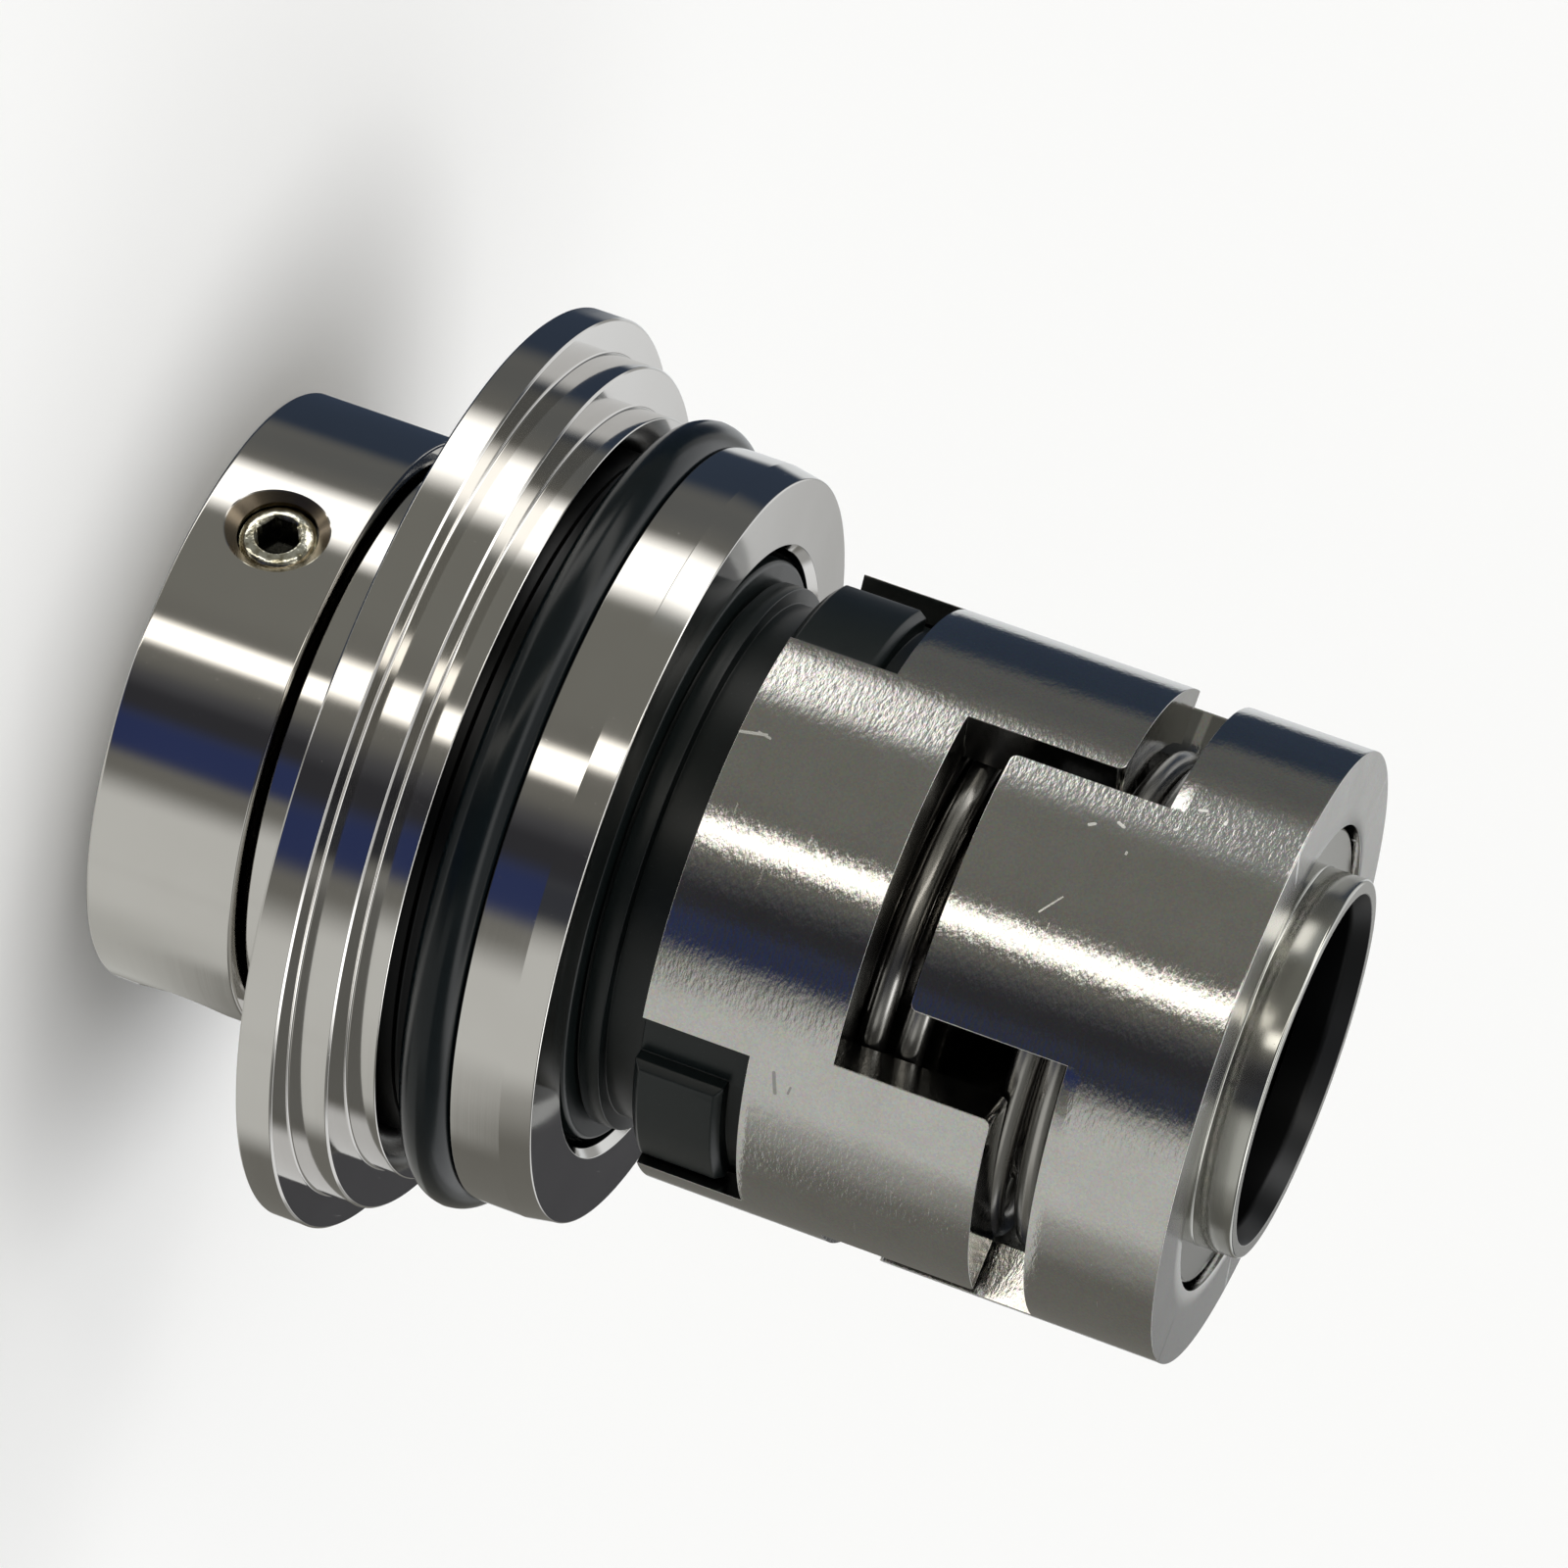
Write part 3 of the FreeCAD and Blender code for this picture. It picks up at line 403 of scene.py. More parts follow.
def rounded_outline(corners):
    """Replaces each corner of a closed outline by an arc.

    At a corner where the outline turns by an angle t, a round of radius q touches both sides at
    q tan(t / 2) from the corner, and never takes more than its share of a side.  The surface
    direction turns evenly by t along the arc.
    """
    place = np.array([corner[:2] for corner in corners], float)
    size = np.array([corner[2] if len(corner) > 2 else EDGE for corner in corners])
    side = np.roll(place, -1, axis=0) - place
    length = np.linalg.norm(side, axis=1)
    leaving = side / length[:, None]
    coming = np.roll(leaving, 1, axis=0)
    turn = np.arctan2(coming[:, 0] * leaving[:, 1] - coming[:, 1] * leaving[:, 0],
                      (coming * leaving).sum(axis=1))
    tangent = np.tan(np.abs(turn) / 2)
    room = SIDE_SHARE * np.minimum(length, np.roll(length, 1)) / np.maximum(tangent, 1e-9)
    size = np.minimum(size, room)
    reach = size * tangent
    outward = np.stack([coming[:, 1], -coming[:, 0]], axis=1)
    bend = np.sign(turn)
    centre = place - coming * reach[:, None] - outward * (size * bend)[:, None]
    share = np.linspace(0, 1, ARC_STEPS + 1)
    angle = turn[:, None] * share
    normal = np.stack([outward[:, :1] * np.cos(angle) - outward[:, 1:] * np.sin(angle),
                       outward[:, :1] * np.sin(angle) + outward[:, 1:] * np.cos(angle)], axis=-1)
    point = centre[:, None] + normal * (size * bend)[:, None, None]
    return point.reshape(-1, 2), normal.reshape(-1, 2)


def carried_round(outline, normal, angles):
    """A point (r, z) of an outline becomes (r cos a, r sin a, z) for every angle a."""
    cosine, sine = np.cos(angles), np.sin(angles)
    return [np.stack([pair[:, :1] * cosine, pair[:, :1] * sine, pair[:, 1:] + 0 * cosine], axis=-1)
            for pair in (outline, normal)]


def turned(name, body, corners, node):
    """A ring turned to a closed outline of (radius, height) corners, solid on the outline's left."""
    points, normals = carried_round(*rounded_outline(corners), round_angles(COLUMNS))
    return new_piece(name, body, [grid(points, normals, closed_rows=True, closed_columns=True)], node)


def measure(node):
    """Bottom, top and largest reach from the axis of a node, in millimetres, from its box."""
    low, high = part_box(node)
    return low.z / MM, high.z / MM, max(-low.x, high.x, -low.y, high.y) / MM


# %% [markdown]
# The cover is one turned piece: hub, flange, two centring steps, the O-ring groove, and the nose
# with its lead-in taper.  Each step has the small fillet of the turning tool at its root, and its
# outer corner is broken, which shows as a light line.

# %% Cover
SHAFT_RADIUS = 11.0
SLEEVE_RADIUS = 12.4
BREAK = 0.14
POCKET_BREAK = 0.5
ROOT = 0.16

cover_bottom, cover_top, flange_radius = measure("seal_cover")
flange_z = cover_bottom + 5.1
step_z = flange_z + 2.45
land_z = step_z + 2.65
groove_z = land_z + 2.0
nose_z = groove_z + 4.85
taper_z = nose_z + 3.35
hub_radius, step_radius, land_radius = 18.4, flange_radius - 2.3, flange_radius - 5.0
groove_floor, pocket_radius = 22.65, 19.9
nose_radius, mouth_radius = flange_radius - 5.3, flange_radius - 5.65
pocket_z = cover_top - 8.2
cover_bore, bush_seat, bush_end = 13.2, 15.22, 15.95

cover = turned("cover", "stator", [
    (bush_seat, cover_bottom), (hub_radius - BREAK, cover_bottom), (hub_radius, cover_bottom + BREAK),
    (hub_radius, flange_z, 0.15), (flange_radius - BREAK, flange_z), (flange_radius, flange_z + BREAK),
    (flange_radius, step_z - BREAK), (flange_radius - BREAK, step_z),
    (step_radius, step_z, ROOT), (step_radius, land_z - BREAK), (step_radius - BREAK, land_z),
    (land_radius, land_z, ROOT), (land_radius, groove_z - BREAK / 2),
    (land_radius - BREAK / 2, groove_z), (groove_floor, groove_z, 0.2), (groove_floor, nose_z, 0.2),
    (nose_radius - BREAK / 2, nose_z), (nose_radius, nose_z + BREAK / 2), (nose_radius, taper_z, 0.3),
    (mouth_radius, cover_top, 0.12), (pocket_radius + POCKET_BREAK, cover_top),
    (pocket_radius, cover_top - POCKET_BREAK),
    (pocket_radius, pocket_z, 0.15), (cover_bore, pocket_z), (cover_bore, bush_end), (bush_seat, bush_end),
], "seal_cover")

# %% [markdown]
# The faces that seal are two rings of black silicon carbide.  The lower one floats in the cover's
# pocket on its O-ring, and only its shoulder and its running land look out of the nose.

# %% Stationary seat
seat_bottom, seat_top, seat_radius = measure("stationary_seat")
seat_bore, seat_land, seat_shoulder = 13.4, seat_radius - 1.95, cover_top - 0.2
groove_radius, groove_low = 16.92, seat_bottom + 2.6
groove_high = groove_low + 2.9
seat = turned("seat", "stator", [
    (seat_bore, seat_bottom), (seat_radius, seat_bottom, 0.3), (seat_radius, groove_low),
    (groove_radius, groove_low), (groove_radius, groove_high), (seat_radius, groove_high),
    (seat_radius, seat_shoulder, 0.3), (seat_land, seat_shoulder, 0.1),
    (seat_land, seat_top), (seat_bore, seat_top),
], "stationary_seat")

# %% [markdown]
# The guide bush is a plain dark ring that shows only as the shade in the slit beside the collar.

# %% Guide bush
bush_bottom, bush_top, bush_radius = measure("guide_bush")
bush_bore = SLEEVE_RADIUS + 0.06
bush = turned("bush", "stator", [
    (bush_bore, bush_bottom), (bush_radius, bush_bottom, 0.3), (bush_radius, bush_top), (bush_bore, bush_top),
], "guide_bush")

# %% [markdown]
# An O-ring is a round section carried round the axis.  Moulding leaves it a hair-thin raised line
# where the two halves of the mould met, at its widest and its narrowest place.

# %% O-rings
RING_SECTION_STEPS, RING_COLUMNS = 64, 256
MOULD_LINE, MOULD_LINE_WIDTH = 0.018, 0.05


def o_ring(name, node, body, mean_radius, section):
    """Section point: (R + q cos t, z + q sin t), with q raised a little where sin t is near 0."""
    low, high, _ = measure(node)
    middle = (low + high) / 2
    angle = round_angles(RING_SECTION_STEPS)
    spread = MOULD_LINE_WIDTH / (section / 2)
    size = section / 2 - MOULD_LINE + MOULD_LINE * np.exp(-(np.sin(angle) / spread) ** 2)
    outline = np.stack([mean_radius + size * np.cos(angle), middle + size * np.sin(angle)], axis=1)
    normal = np.stack([np.cos(angle), np.sin(angle)], axis=1)
    points, normals = carried_round(outline, normal, round_angles(RING_COLUMNS))
    return new_piece(name, body, [grid(points, normals, True, True)], node)


cover_ring = o_ring("cover_ring", "cover_o_ring", "stator", mean_radius=24.435, section=3.53)
shaft_ring = o_ring("shaft_ring", "shaft_o_ring", "rotor", mean_radius=11.99, section=1.9)

# %% [markdown]
# The collar and the sleeve are turned rings with round holes drilled through them along a radius.
# A hole in a mirror-like wall must not disturb the reflection round it, so the wall is laid out in
# strips between the holes, and round each hole as a patch that goes from the circle to a
# rectangle, with every point exactly on the wall.

# %% Rings with radial holes
HOLES = 3
HOLE_FIRST = 238.0
HOLE_PATCH = math.radians(20.0)
PATCH_ACROSS, PATCH_ALONG, PATCH_RINGS, GAP_COLUMNS = 24, 20, 14, 80
CROWDED, RIM_ROUNDS = 1.4, 8


def hole_directions():
    """Directions of the holes, in radians."""
    return np.radians(HOLE_FIRST + np.arange(HOLES) * 360.0 / HOLES)


def hole_axes(direction, around):
    """A hole's own axis, and the directions round it, of which the first is level."""
    axis = np.array([np.cos(direction), np.sin(direction), 0.0])
    side = np.array([-axis[1], axis[0], 0.0])
    return axis, side * np.cos(around)[:, None] + np.array([0, 0, 1.0]) * np.sin(around)[:, None]


def wall_points(radius, angle, height):
    """A point of a round wall from its direction and height, and the way out of the wall there."""
    outward = np.stack([np.cos(angle), np.sin(angle), 0 * angle], axis=-1)
    return np.concatenate([radius * outward[..., :2], (height + 0 * angle)[..., None]], axis=-1), outward


def patch_border(low, high):
    """The patch's rectangle, once round: its angles off the hole's direction and its heights."""
    across = np.linspace(-HOLE_PATCH, HOLE_PATCH, PATCH_ACROSS + 1)
    along = np.linspace(low, high, PATCH_ALONG + 1)
    angle = np.concatenate([across[:-1], np.full(PATCH_ALONG, HOLE_PATCH),
                            across[:0:-1], np.full(PATCH_ALONG, -HOLE_PATCH)])
    height = np.concatenate([np.full(PATCH_ACROSS, low), along[:-1],
                             np.full(PATCH_ACROSS, high), along[:0:-1]])
    return angle, height


def hole_rim(radius, around, size_at):
    """Where the hole meets a round wall: at direction t of the hole's circle the point is
    (sqrt(R^2 - (s cos t)^2), s cos t, z + s sin t), and s is the hole's size at that distance."""
    size = np.full(around.shape, size_at(np.array(radius)))
    for _ in range(RIM_ROUNDS):
        distance = np.sqrt(radius ** 2 - (size * np.cos(around)) ** 2)
        size = size_at(distance)
    return distance, size


def bored_ring(name, node, body, corners, height, size_at, depths):
    """A turned ring with radial holes.

    corners is its closed outline, with the solid on the left.  Its first two corners are the bottom
    edges, inner and outer, and the holes go through the straight walls above them.  size_at gives the
    hole's radius at a distance from the axis, and depths the distances at which its wall bends.
    """
    spacing = 2 * np.pi / HOLES
    gap = np.linspace(HOLE_PATCH, spacing - HOLE_PATCH, GAP_COLUMNS + 1)
    patch = np.linspace(-HOLE_PATCH, HOLE_PATCH, PATCH_ACROSS + 1)
    third = np.concatenate([patch[:-1], gap[:-1]])
    columns = np.concatenate([third + centre for centre in hole_directions()])
    outline, normal = rounded_outline(corners)
    cut = 2 * (ARC_STEPS + 1)
    grids = []
    for part in (slice(0, cut), slice(cut, None)):
        points, normals = carried_round(outline[part], normal[part], columns)
        grids.append(grid(points, normals, closed_columns=True))
    inner, outer = outline[0], outline[cut - 1]
    walls = [(outer[0], outer[1], outline[cut][1], 1), (inner[0], inner[1], outline[-1][1], -1)]
    border_angle, border_height = patch_border(walls[0][1], walls[0][2])
    around = np.arctan2(border_height - height, walls[0][0] * np.sin(border_angle))
    rims = []
    for radius, low, high, sign in walls:
        rim_distance, rim_size = hole_rim(radius, around, size_at)
        rims.append((rim_distance, rim_size))
        border_angle, border_height = patch_border(low, high)
        rim_angle = np.arcsin(rim_size * np.cos(around) / radius)
        rim_height = height + rim_size * np.sin(around)
        share = np.linspace(0, 1, PATCH_RINGS + 1)[:, None] ** CROWDED
        angle = rim_angle * (1 - share) + border_angle * share
        level = rim_height * (1 - share) + border_height * share
        rows = np.linspace(low, high, PATCH_ALONG + 1)[:, None]
        for centre in hole_directions():
            points, outward = wall_points(radius, centre + angle, level)
            grids.append(grid(points, sign * outward, closed_columns=True))
            points, outward = wall_points(radius, centre + (gap + 0 * rows), rows)
            grids.append(grid(points, sign * outward))
    bends = [np.full(around.shape, depth) for depth in depths]
    stations = [rims[0], *((bend, size_at(bend)) for bend in bends), rims[1]]
    for (far, far_size), (near, near_size) in zip(stations[:-1], stations[1:]):
        slope = (far_size - near_size) / np.maximum(far - near, 1e-9)
        distance, size = np.stack([far, near]), np.stack([far_size, near_size])
        for centre in hole_directions():
            axis, spoke = hole_axes(centre, around)
            points = axis * distance[..., None] + spoke * size[..., None] + np.array([0, 0, height])
            normals = axis * slope[:, None] - spoke
            normals = normals / np.linalg.norm(normals, axis=1, keepdims=True)
            grids.append(grid(points, np.stack([normals, normals]), closed_columns=True))
    return new_piece(name, body, grids, node)


# %% [markdown]
# The drive collar clamps the cartridge to the shaft.  Its holes open in a short countersink, and
# its outer edges are only just broken.

# %% Drive collar
SCREW_HEIGHT, SCREW_HOLE = 5.04, 2.55
SCREW_MOUTH, MOUTH_DEPTH = 3.4, 0.7
collar_bottom, collar_top, collar_radius = measure("drive_collar")
collar_bore = 12.42


def collar_hole(distance):
    """The hole's radius: straight, then widening to the mouth over the last stretch."""
    share = np.clip((distance - (collar_radius - MOUTH_DEPTH)) / MOUTH_DEPTH, 0, 1)
    return SCREW_HOLE + (SCREW_MOUTH - SCREW_HOLE) * share


collar = bored_ring("collar", "drive_collar", "rotor", [
    (collar_bore, collar_bottom, 0.15), (collar_radius, collar_bottom, 0.25),
    (collar_radius, collar_top, 0.2), (collar_bore, collar_top, 0.15),
], SCREW_HEIGHT, collar_hole, [collar_radius - MOUTH_DEPTH, 16.0])

# %% [markdown]
# The sleeve runs through the whole cartridge.  Its lip stands out of the open end, and the screws
# reach the shaft through three ports in its other end.

# %% Sleeve
PORT, PORT_FIELD = 2.65, 10.0
sleeve_bottom, sleeve_top, head_radius = measure("shaft_sleeve")
head_bottom, head_top = sleeve_top - 7.5, sleeve_top - 2.6
lip_mouth, lip_taper = SHAFT_RADIUS + 0.5, sleeve_top - 1.2
ring_groove_low, ring_groove_high, ring_groove_radius = 68.2, 70.7, 12.98


def port_hole(distance):
    """The ports are straight."""
    return np.full(np.shape(distance), PORT)


sleeve = bored_ring("sleeve", "shaft_sleeve", "rotor", [
    (SHAFT_RADIUS, sleeve_bottom, 0.2), (SLEEVE_RADIUS, sleeve_bottom, 0.2),
    (SLEEVE_RADIUS, PORT_FIELD, 0), (SLEEVE_RADIUS, head_bottom), (head_radius, head_bottom, 0.2),
    (head_radius, head_top, 0.25), (SLEEVE_RADIUS, head_top, 0.12),
    (SLEEVE_RADIUS, sleeve_top, 0.2), (lip_mouth, sleeve_top, 0.08), (SHAFT_RADIUS, lip_taper, 1.0),
    (SHAFT_RADIUS, ring_groove_high), (ring_groove_radius, ring_groove_high, 0.15),
    (ring_groove_radius, ring_groove_low, 0.15), (SHAFT_RADIUS, ring_groove_low),
    (SHAFT_RADIUS, PORT_FIELD, 0),
], SCREW_HEIGHT, port_hole, [11.7])

# %% [markdown]
# The carrier, the retainer and the rotating face are rings with pieces cut away: castellations,
# notches and lugs.  Each is laid out in a grid of radii, directions and heights.  A small rule says
# which blocks of that grid are metal, and a wall goes wherever metal meets air.  All its points are
# shared, so the piece is closed, and a Bevel breaks its edges as the real ones are broken.

# %% Castellated rings
BLOCK_PITCH, NEAR = math.radians(1.2), 1e-6
TIP_ROUND = 0.5
TIP_LINES = np.array([0, 0.25, 0.5, 0.75, 1.0]) * TIP_ROUND


def divided(marks, pitch):
    """Lines through all the marks, with even ones between them no further apart than the pitch."""
    pieces = [np.linspace(first, last, max(1, math.ceil((last - first) / pitch - 1e-9)) + 1)[:-1]
              for first, last in zip(marks[:-1], marks[1:])]
    return np.concatenate(pieces + [[marks[-1]]])


def off_centre(angle, first):
    """How far a direction is from the nearest of three even ones, in degrees, with its sign."""
    return (np.degrees(angle) - first + 60.0) % 120.0 - 60.0


def shifted(angle, off, moved):
    """The direction, after its distance off centre has changed from off to moved degrees."""
    return angle + np.radians(moved - off)


def ring_lines(first, offsets):
    """Directions of lines all round, in radians, among them those off three even ones by offsets."""
    offsets = np.asarray(offsets, float)
    marks = np.sort(np.radians((first + 120.0 * np.arange(3)[:, None] + offsets).reshape(-1) % 360.0))
    return divided(np.append(marks, marks[0] + 2 * np.pi), BLOCK_PITCH)[:-1]


def block_ring(name, node, body, radii, angles, heights, is_metal, warp, width=0.16, segments=3):
    """Walls between metal and air in a grid of blocks, with broken edges and flat large faces.

    is_metal takes arrays of the blocks' middle radii, directions and heights.  warp moves the points
    (radius, direction, height) afterwards.  width is how wide the edges are broken.
    """
    middle_radius = (radii[1:] + radii[:-1]) / 2
    step = np.diff(np.append(angles, angles[0] + 2 * np.pi))
    middle_angle = angles + step / 2
    middle_height = (heights[1:] + heights[:-1]) / 2
    block = is_metal(*np.meshgrid(middle_radius, middle_angle, middle_height, indexing="ij"))
    count = len(angles)
    number = np.arange(len(radii) * count * len(heights)).reshape(len(radii), count, len(heights))
    padded = np.zeros((len(radii) + 1, count, len(heights) + 1), bool)
    padded[1:-1, :, 1:-1] = block
    faces = []
    for axis in range(3):
        before = padded if axis == 1 else np.take(padded, range(padded.shape[axis] - 1), axis)
        after = np.roll(padded, -1, 1) if axis == 1 else np.take(padded, range(1, padded.shape[axis]), axis)
        for solid_first in (True, False):
            i, j, k = np.nonzero((before & ~after) if solid_first else (after & ~before))
            if axis == 0:
                corners = [(i, j, k - 1), (i, j + 1, k - 1), (i, j + 1, k), (i, j, k)]
            elif axis == 1:
                corners = [(i - 1, j + 1, k - 1), (i - 1, j + 1, k), (i, j + 1, k), (i, j + 1, k - 1)]
            else:
                corners = [(i - 1, j, k), (i, j, k), (i, j + 1, k), (i - 1, j + 1, k)]
            quad = np.stack([number[a, b % count, c] for a, b, c in corners], axis=1)
            faces.append(quad if solid_first else quad[:, ::-1])
    faces = np.concatenate(faces)
    lines = np.meshgrid(radii, angles, heights, indexing="ij")
    radius, angle, height = warp(*(line.reshape(-1) for line in lines))
    points = np.stack([radius * np.cos(angle), radius * np.sin(angle), height], axis=1)
    used, faces = np.unique(faces, return_inverse=True)
    piece = add_piece(name, body, node, points[used], faces.reshape(-1, 4).tolist())
    bevel = piece.modifiers.new("edges", "BEVEL")
    bevel.width = width * MM
    bevel.segments = segments
    bevel.limit_method = "ANGLE"
    bevel.angle_limit = math.radians(40)
    bevel.use_clamp_overlap = True
    weighted = piece.modifiers.new("flats", "WEIGHTED_NORMAL")
    weighted.mode = "FACE_AREA"
    weighted.weight = 80
    return piece


def round_corner(across, along, size):
    """Turns the corner of a square into a quarter circle.

    across and along are distances in from the flank and the tip.  Inside the square of that size,
    with p = 1 - across / size and q = 1 - along / size, the point moves to
    (p sqrt(1 - q^2 / 2), q sqrt(1 - p^2 / 2)), which sends the square's border to the circle.
    """
    p = np.clip(1 - across / size, 0, 1)
    q = np.clip(1 - along / size, 0, 1)
    inside = (p > 0) & (q > 0)
    across = np.where(inside, size * (1 - p * np.sqrt(1 - q ** 2 / 2)), across)
    along = np.where(inside, size * (1 - q * np.sqrt(1 - p ** 2 / 2)), along)
    return across, along


def tip_offsets(finger, outer):
    """Offsets of the lines that the rounding of a finger's tip needs, on both flanks, in degrees."""
    offsets = finger - TIP_LINES * math.degrees(1 / outer)
    return [*offsets, *-offsets]


def rounded_tips(angle, inward, first, finger, outer):
    """Rounds the corners of the finger tips.  inward is the distance in from the tips, along the axis."""
    off = off_centre(angle, first)
    degree = math.degrees(1 / outer)
    across, along = round_corner((finger - np.abs(off)) / degree, inward, TIP_ROUND)
    on_finger = (np.abs(off) < finger + NEAR) & (inward < TIP_ROUND + NEAR)
    moved = np.sign(off) * (finger - across * degree)
    return np.where(on_finger, shifted(angle, off, moved), angle), np.where(on_finger, along, inward)


# %% [markdown]
# The carrier drives the rotating face: three notches take the face's lugs, and three broad fingers
# reach the other way, between those of the retainer.

# %% Ring carrier
# The direction of the first finger, and half the widths of a finger and a notch, in degrees.
CARRIER_FIRST, CARRIER_FINGER, NOTCH = 202.0, 50.8 / 2, 42.6 / 2
carrier_bottom, carrier_top, carrier_radius = measure("ring_carrier")
web_low, web_high = carrier_bottom + 7.67, carrier_bottom + 10.77
notch_top, slot_floor = web_low - 0.6, web_high + 1.5
carrier_cup, room_radius, web_bore = carrier_radius - 1.65, 16.5, 12.46


def is_carrier(radius, angle, height):
    """A cup with notches, a web, and a ring with fingers."""
    off = np.abs(off_centre(angle, CARRIER_FIRST))
    cup = (radius > carrier_cup) & (height < web_low) & ~((off < NOTCH) & (height < notch_top))
    web = (height > web_low) & (height < web_high)
    upper = (radius > room_radius) & (height > web_high) & ((off < CARRIER_FINGER) | (height < slot_floor))
    return cup | web | upper


def carrier_warp(radius, angle, height):
    """Rounds the corners of the finger tips, and opens the notches inwards.

    A notch is milled straight through, so its flanks keep their distance from its middle plane: at a
    radius r they lie at the angle whose sine is R / r times the sine at the outside radius R.
    """
    off = off_centre(angle, CARRIER_FIRST)
    flank = np.degrees(np.arcsin(carrier_radius / carrier_cup * math.sin(math.radians(NOTCH))))
    opened = np.interp(np.abs(off), [0, NOTCH, flank + 14, 60], [0, flank, flank + 15, 60]) * np.sign(off)
    inside = (radius < carrier_cup + NEAR) & (height < web_low - NEAR)
    angle = np.where(inside, shifted(angle, off, opened), angle)
    angle, inward = rounded_tips(angle, carrier_top - height, CARRIER_FIRST, CARRIER_FINGER, carrier_radius)
    return radius, angle, carrier_top - inward


carrier = block_ring(
    "carrier", "ring_carrier", "sprung_face",
    np.array([web_bore, room_radius, carrier_cup, carrier_radius]),
    ring_lines(CARRIER_FIRST, [*tip_offsets(CARRIER_FINGER, carrier_radius), NOTCH, -NOTCH]),
    np.array([carrier_bottom, notch_top, web_low, web_high, slot_floor, *(carrier_top - TIP_LINES)[::-1]]),
    is_carrier, carrier_warp)

# %% [markdown]
# The retainer is the other half of the clasp.  Its fingers lie between the carrier's, with an even
# slit on each side, and its stepped end takes the head of the sleeve.

# %% Spring retainer
RETAINER_FIRST, RETAINER_FINGER = 257.2, 50.3 / 2
retainer_bottom, retainer_top, retainer_radius = measure("spring_retainer")
end_web_high = retainer_top - 5.3
end_web_low = end_web_high - 2.0
finger_root = end_web_low - 1.1
end_recess = 15.25


def is_retainer(radius, angle, height):
    """Fingers, a ring, a web, and a stepped end."""
    on_finger = np.abs(off_centre(angle, RETAINER_FIRST)) < RETAINER_FINGER
    fingers = (radius > room_radius) & (height < end_web_low) & (on_finger | (height > finger_root))
    web = (height > end_web_low) & (height < end_web_high)
    end = (radius > end_recess) & (height > end_web_high)
    return fingers | web | end


def retainer_warp(radius, angle, height):
    """Rounds the corners of the finger tips, which point down."""
    inward = height - retainer_bottom
    angle, inward = rounded_tips(angle, inward, RETAINER_FIRST, RETAINER_FINGER, retainer_radius)
    return radius, angle, retainer_bottom + inward


retainer = block_ring(
    "retainer", "spring_retainer", "rotor",
    np.array([SLEEVE_RADIUS + 0.02, end_recess, room_radius, retainer_radius]),
    ring_lines(RETAINER_FIRST, tip_offsets(RETAINER_FINGER, retainer_radius)),
    np.array([*(retainer_bottom + TIP_LINES), finger_root, end_web_low, end_web_high, retainer_top]),
    is_retainer, retainer_warp)

# %% [markdown]
# The rotating face carries the running band at its lower end and three lugs with chamfers.  The
# chamfers come from moving the points of the lugs' outer walls, and the small breaks come after.

# %% Rotating face
LUG_FIRST, LUG, LUG_CHAMFER = 207.6, 31.0 / 2, 0.48
face_bottom, face_top, _ = measure("rotating_face")
band_top, neck_top = face_bottom + 1.35, face_bottom + 4.05
lug_top, ring_cup_floor = face_top - 1.1, face_top - 3.2
face_bore, face_ring_cup, neck_radius = 13.0, 15.38, 17.0
band_radius, body_radius, lug_radius = 18.0, 18.2, 19.5


def is_face(radius, angle, height):
    """Band, neck, body with an O-ring cup, and three lugs."""
    off = np.abs(off_centre(angle, LUG_FIRST))
    band = (height < band_top) & (radius < band_radius)
    neck = (height > band_top) & (height < neck_top) & (radius < neck_radius)
    ring_cup = (radius < face_ring_cup) & (height > ring_cup_floor)
    body = (height > neck_top) & (radius < body_radius) & ~ring_cup
    lugs = (height > neck_top) & (height < lug_top) & (radius > body_radius) & (off < LUG)
    return band | neck | body | lugs


def chamfer_lugs(radius, angle, height):
    """Draws the border of each lug's outer wall in by the chamfer, so that the walls round it lean."""
    off = off_centre(angle, LUG_FIRST)
    narrow = LUG - np.degrees(LUG_CHAMFER / lug_radius)
    drawn = np.interp(np.abs(off), [0, LUG - 3, LUG, 60], [0, LUG - 3, narrow, 60]) * np.sign(off)
    low, high = neck_top + LUG_CHAMFER, lug_top - LUG_CHAMFER
    outer = radius > lug_radius - NEAR
    angle = np.where(outer, shifted(angle, off, drawn), angle)
    return radius, angle, np.where(outer, np.clip(height, low, high), height)


face = block_ring(
    "face_ring", "rotating_face", "sprung_face",
    np.array([face_bore, face_ring_cup, neck_radius, band_radius, body_radius,
              lug_radius - LUG_CHAMFER, lug_radius]),
    ring_lines(LUG_FIRST, [LUG, -LUG]),
    np.array([face_bottom, band_top, neck_top, ring_cup_floor, lug_top, face_top]),
    is_face, chamfer_lugs, width=0.08, segments=2)

# %% [markdown]
# The spring is a round wire on a helix whose pitch changes: the end coils lie close together and
# the middle ones are open.  Both ends are ground flat, which is done by holding every point between
# the two end planes.

# %% Spring
spring_low, spring_high, spring_reach = measure("coil_spring")
WIRE = 1.75
COIL = spring_reach - WIRE / 2
SPRING_START, SPRING_TURNS = math.radians(290.0), 5
WIRE_COLUMNS, TURN_ROWS = 32, 96


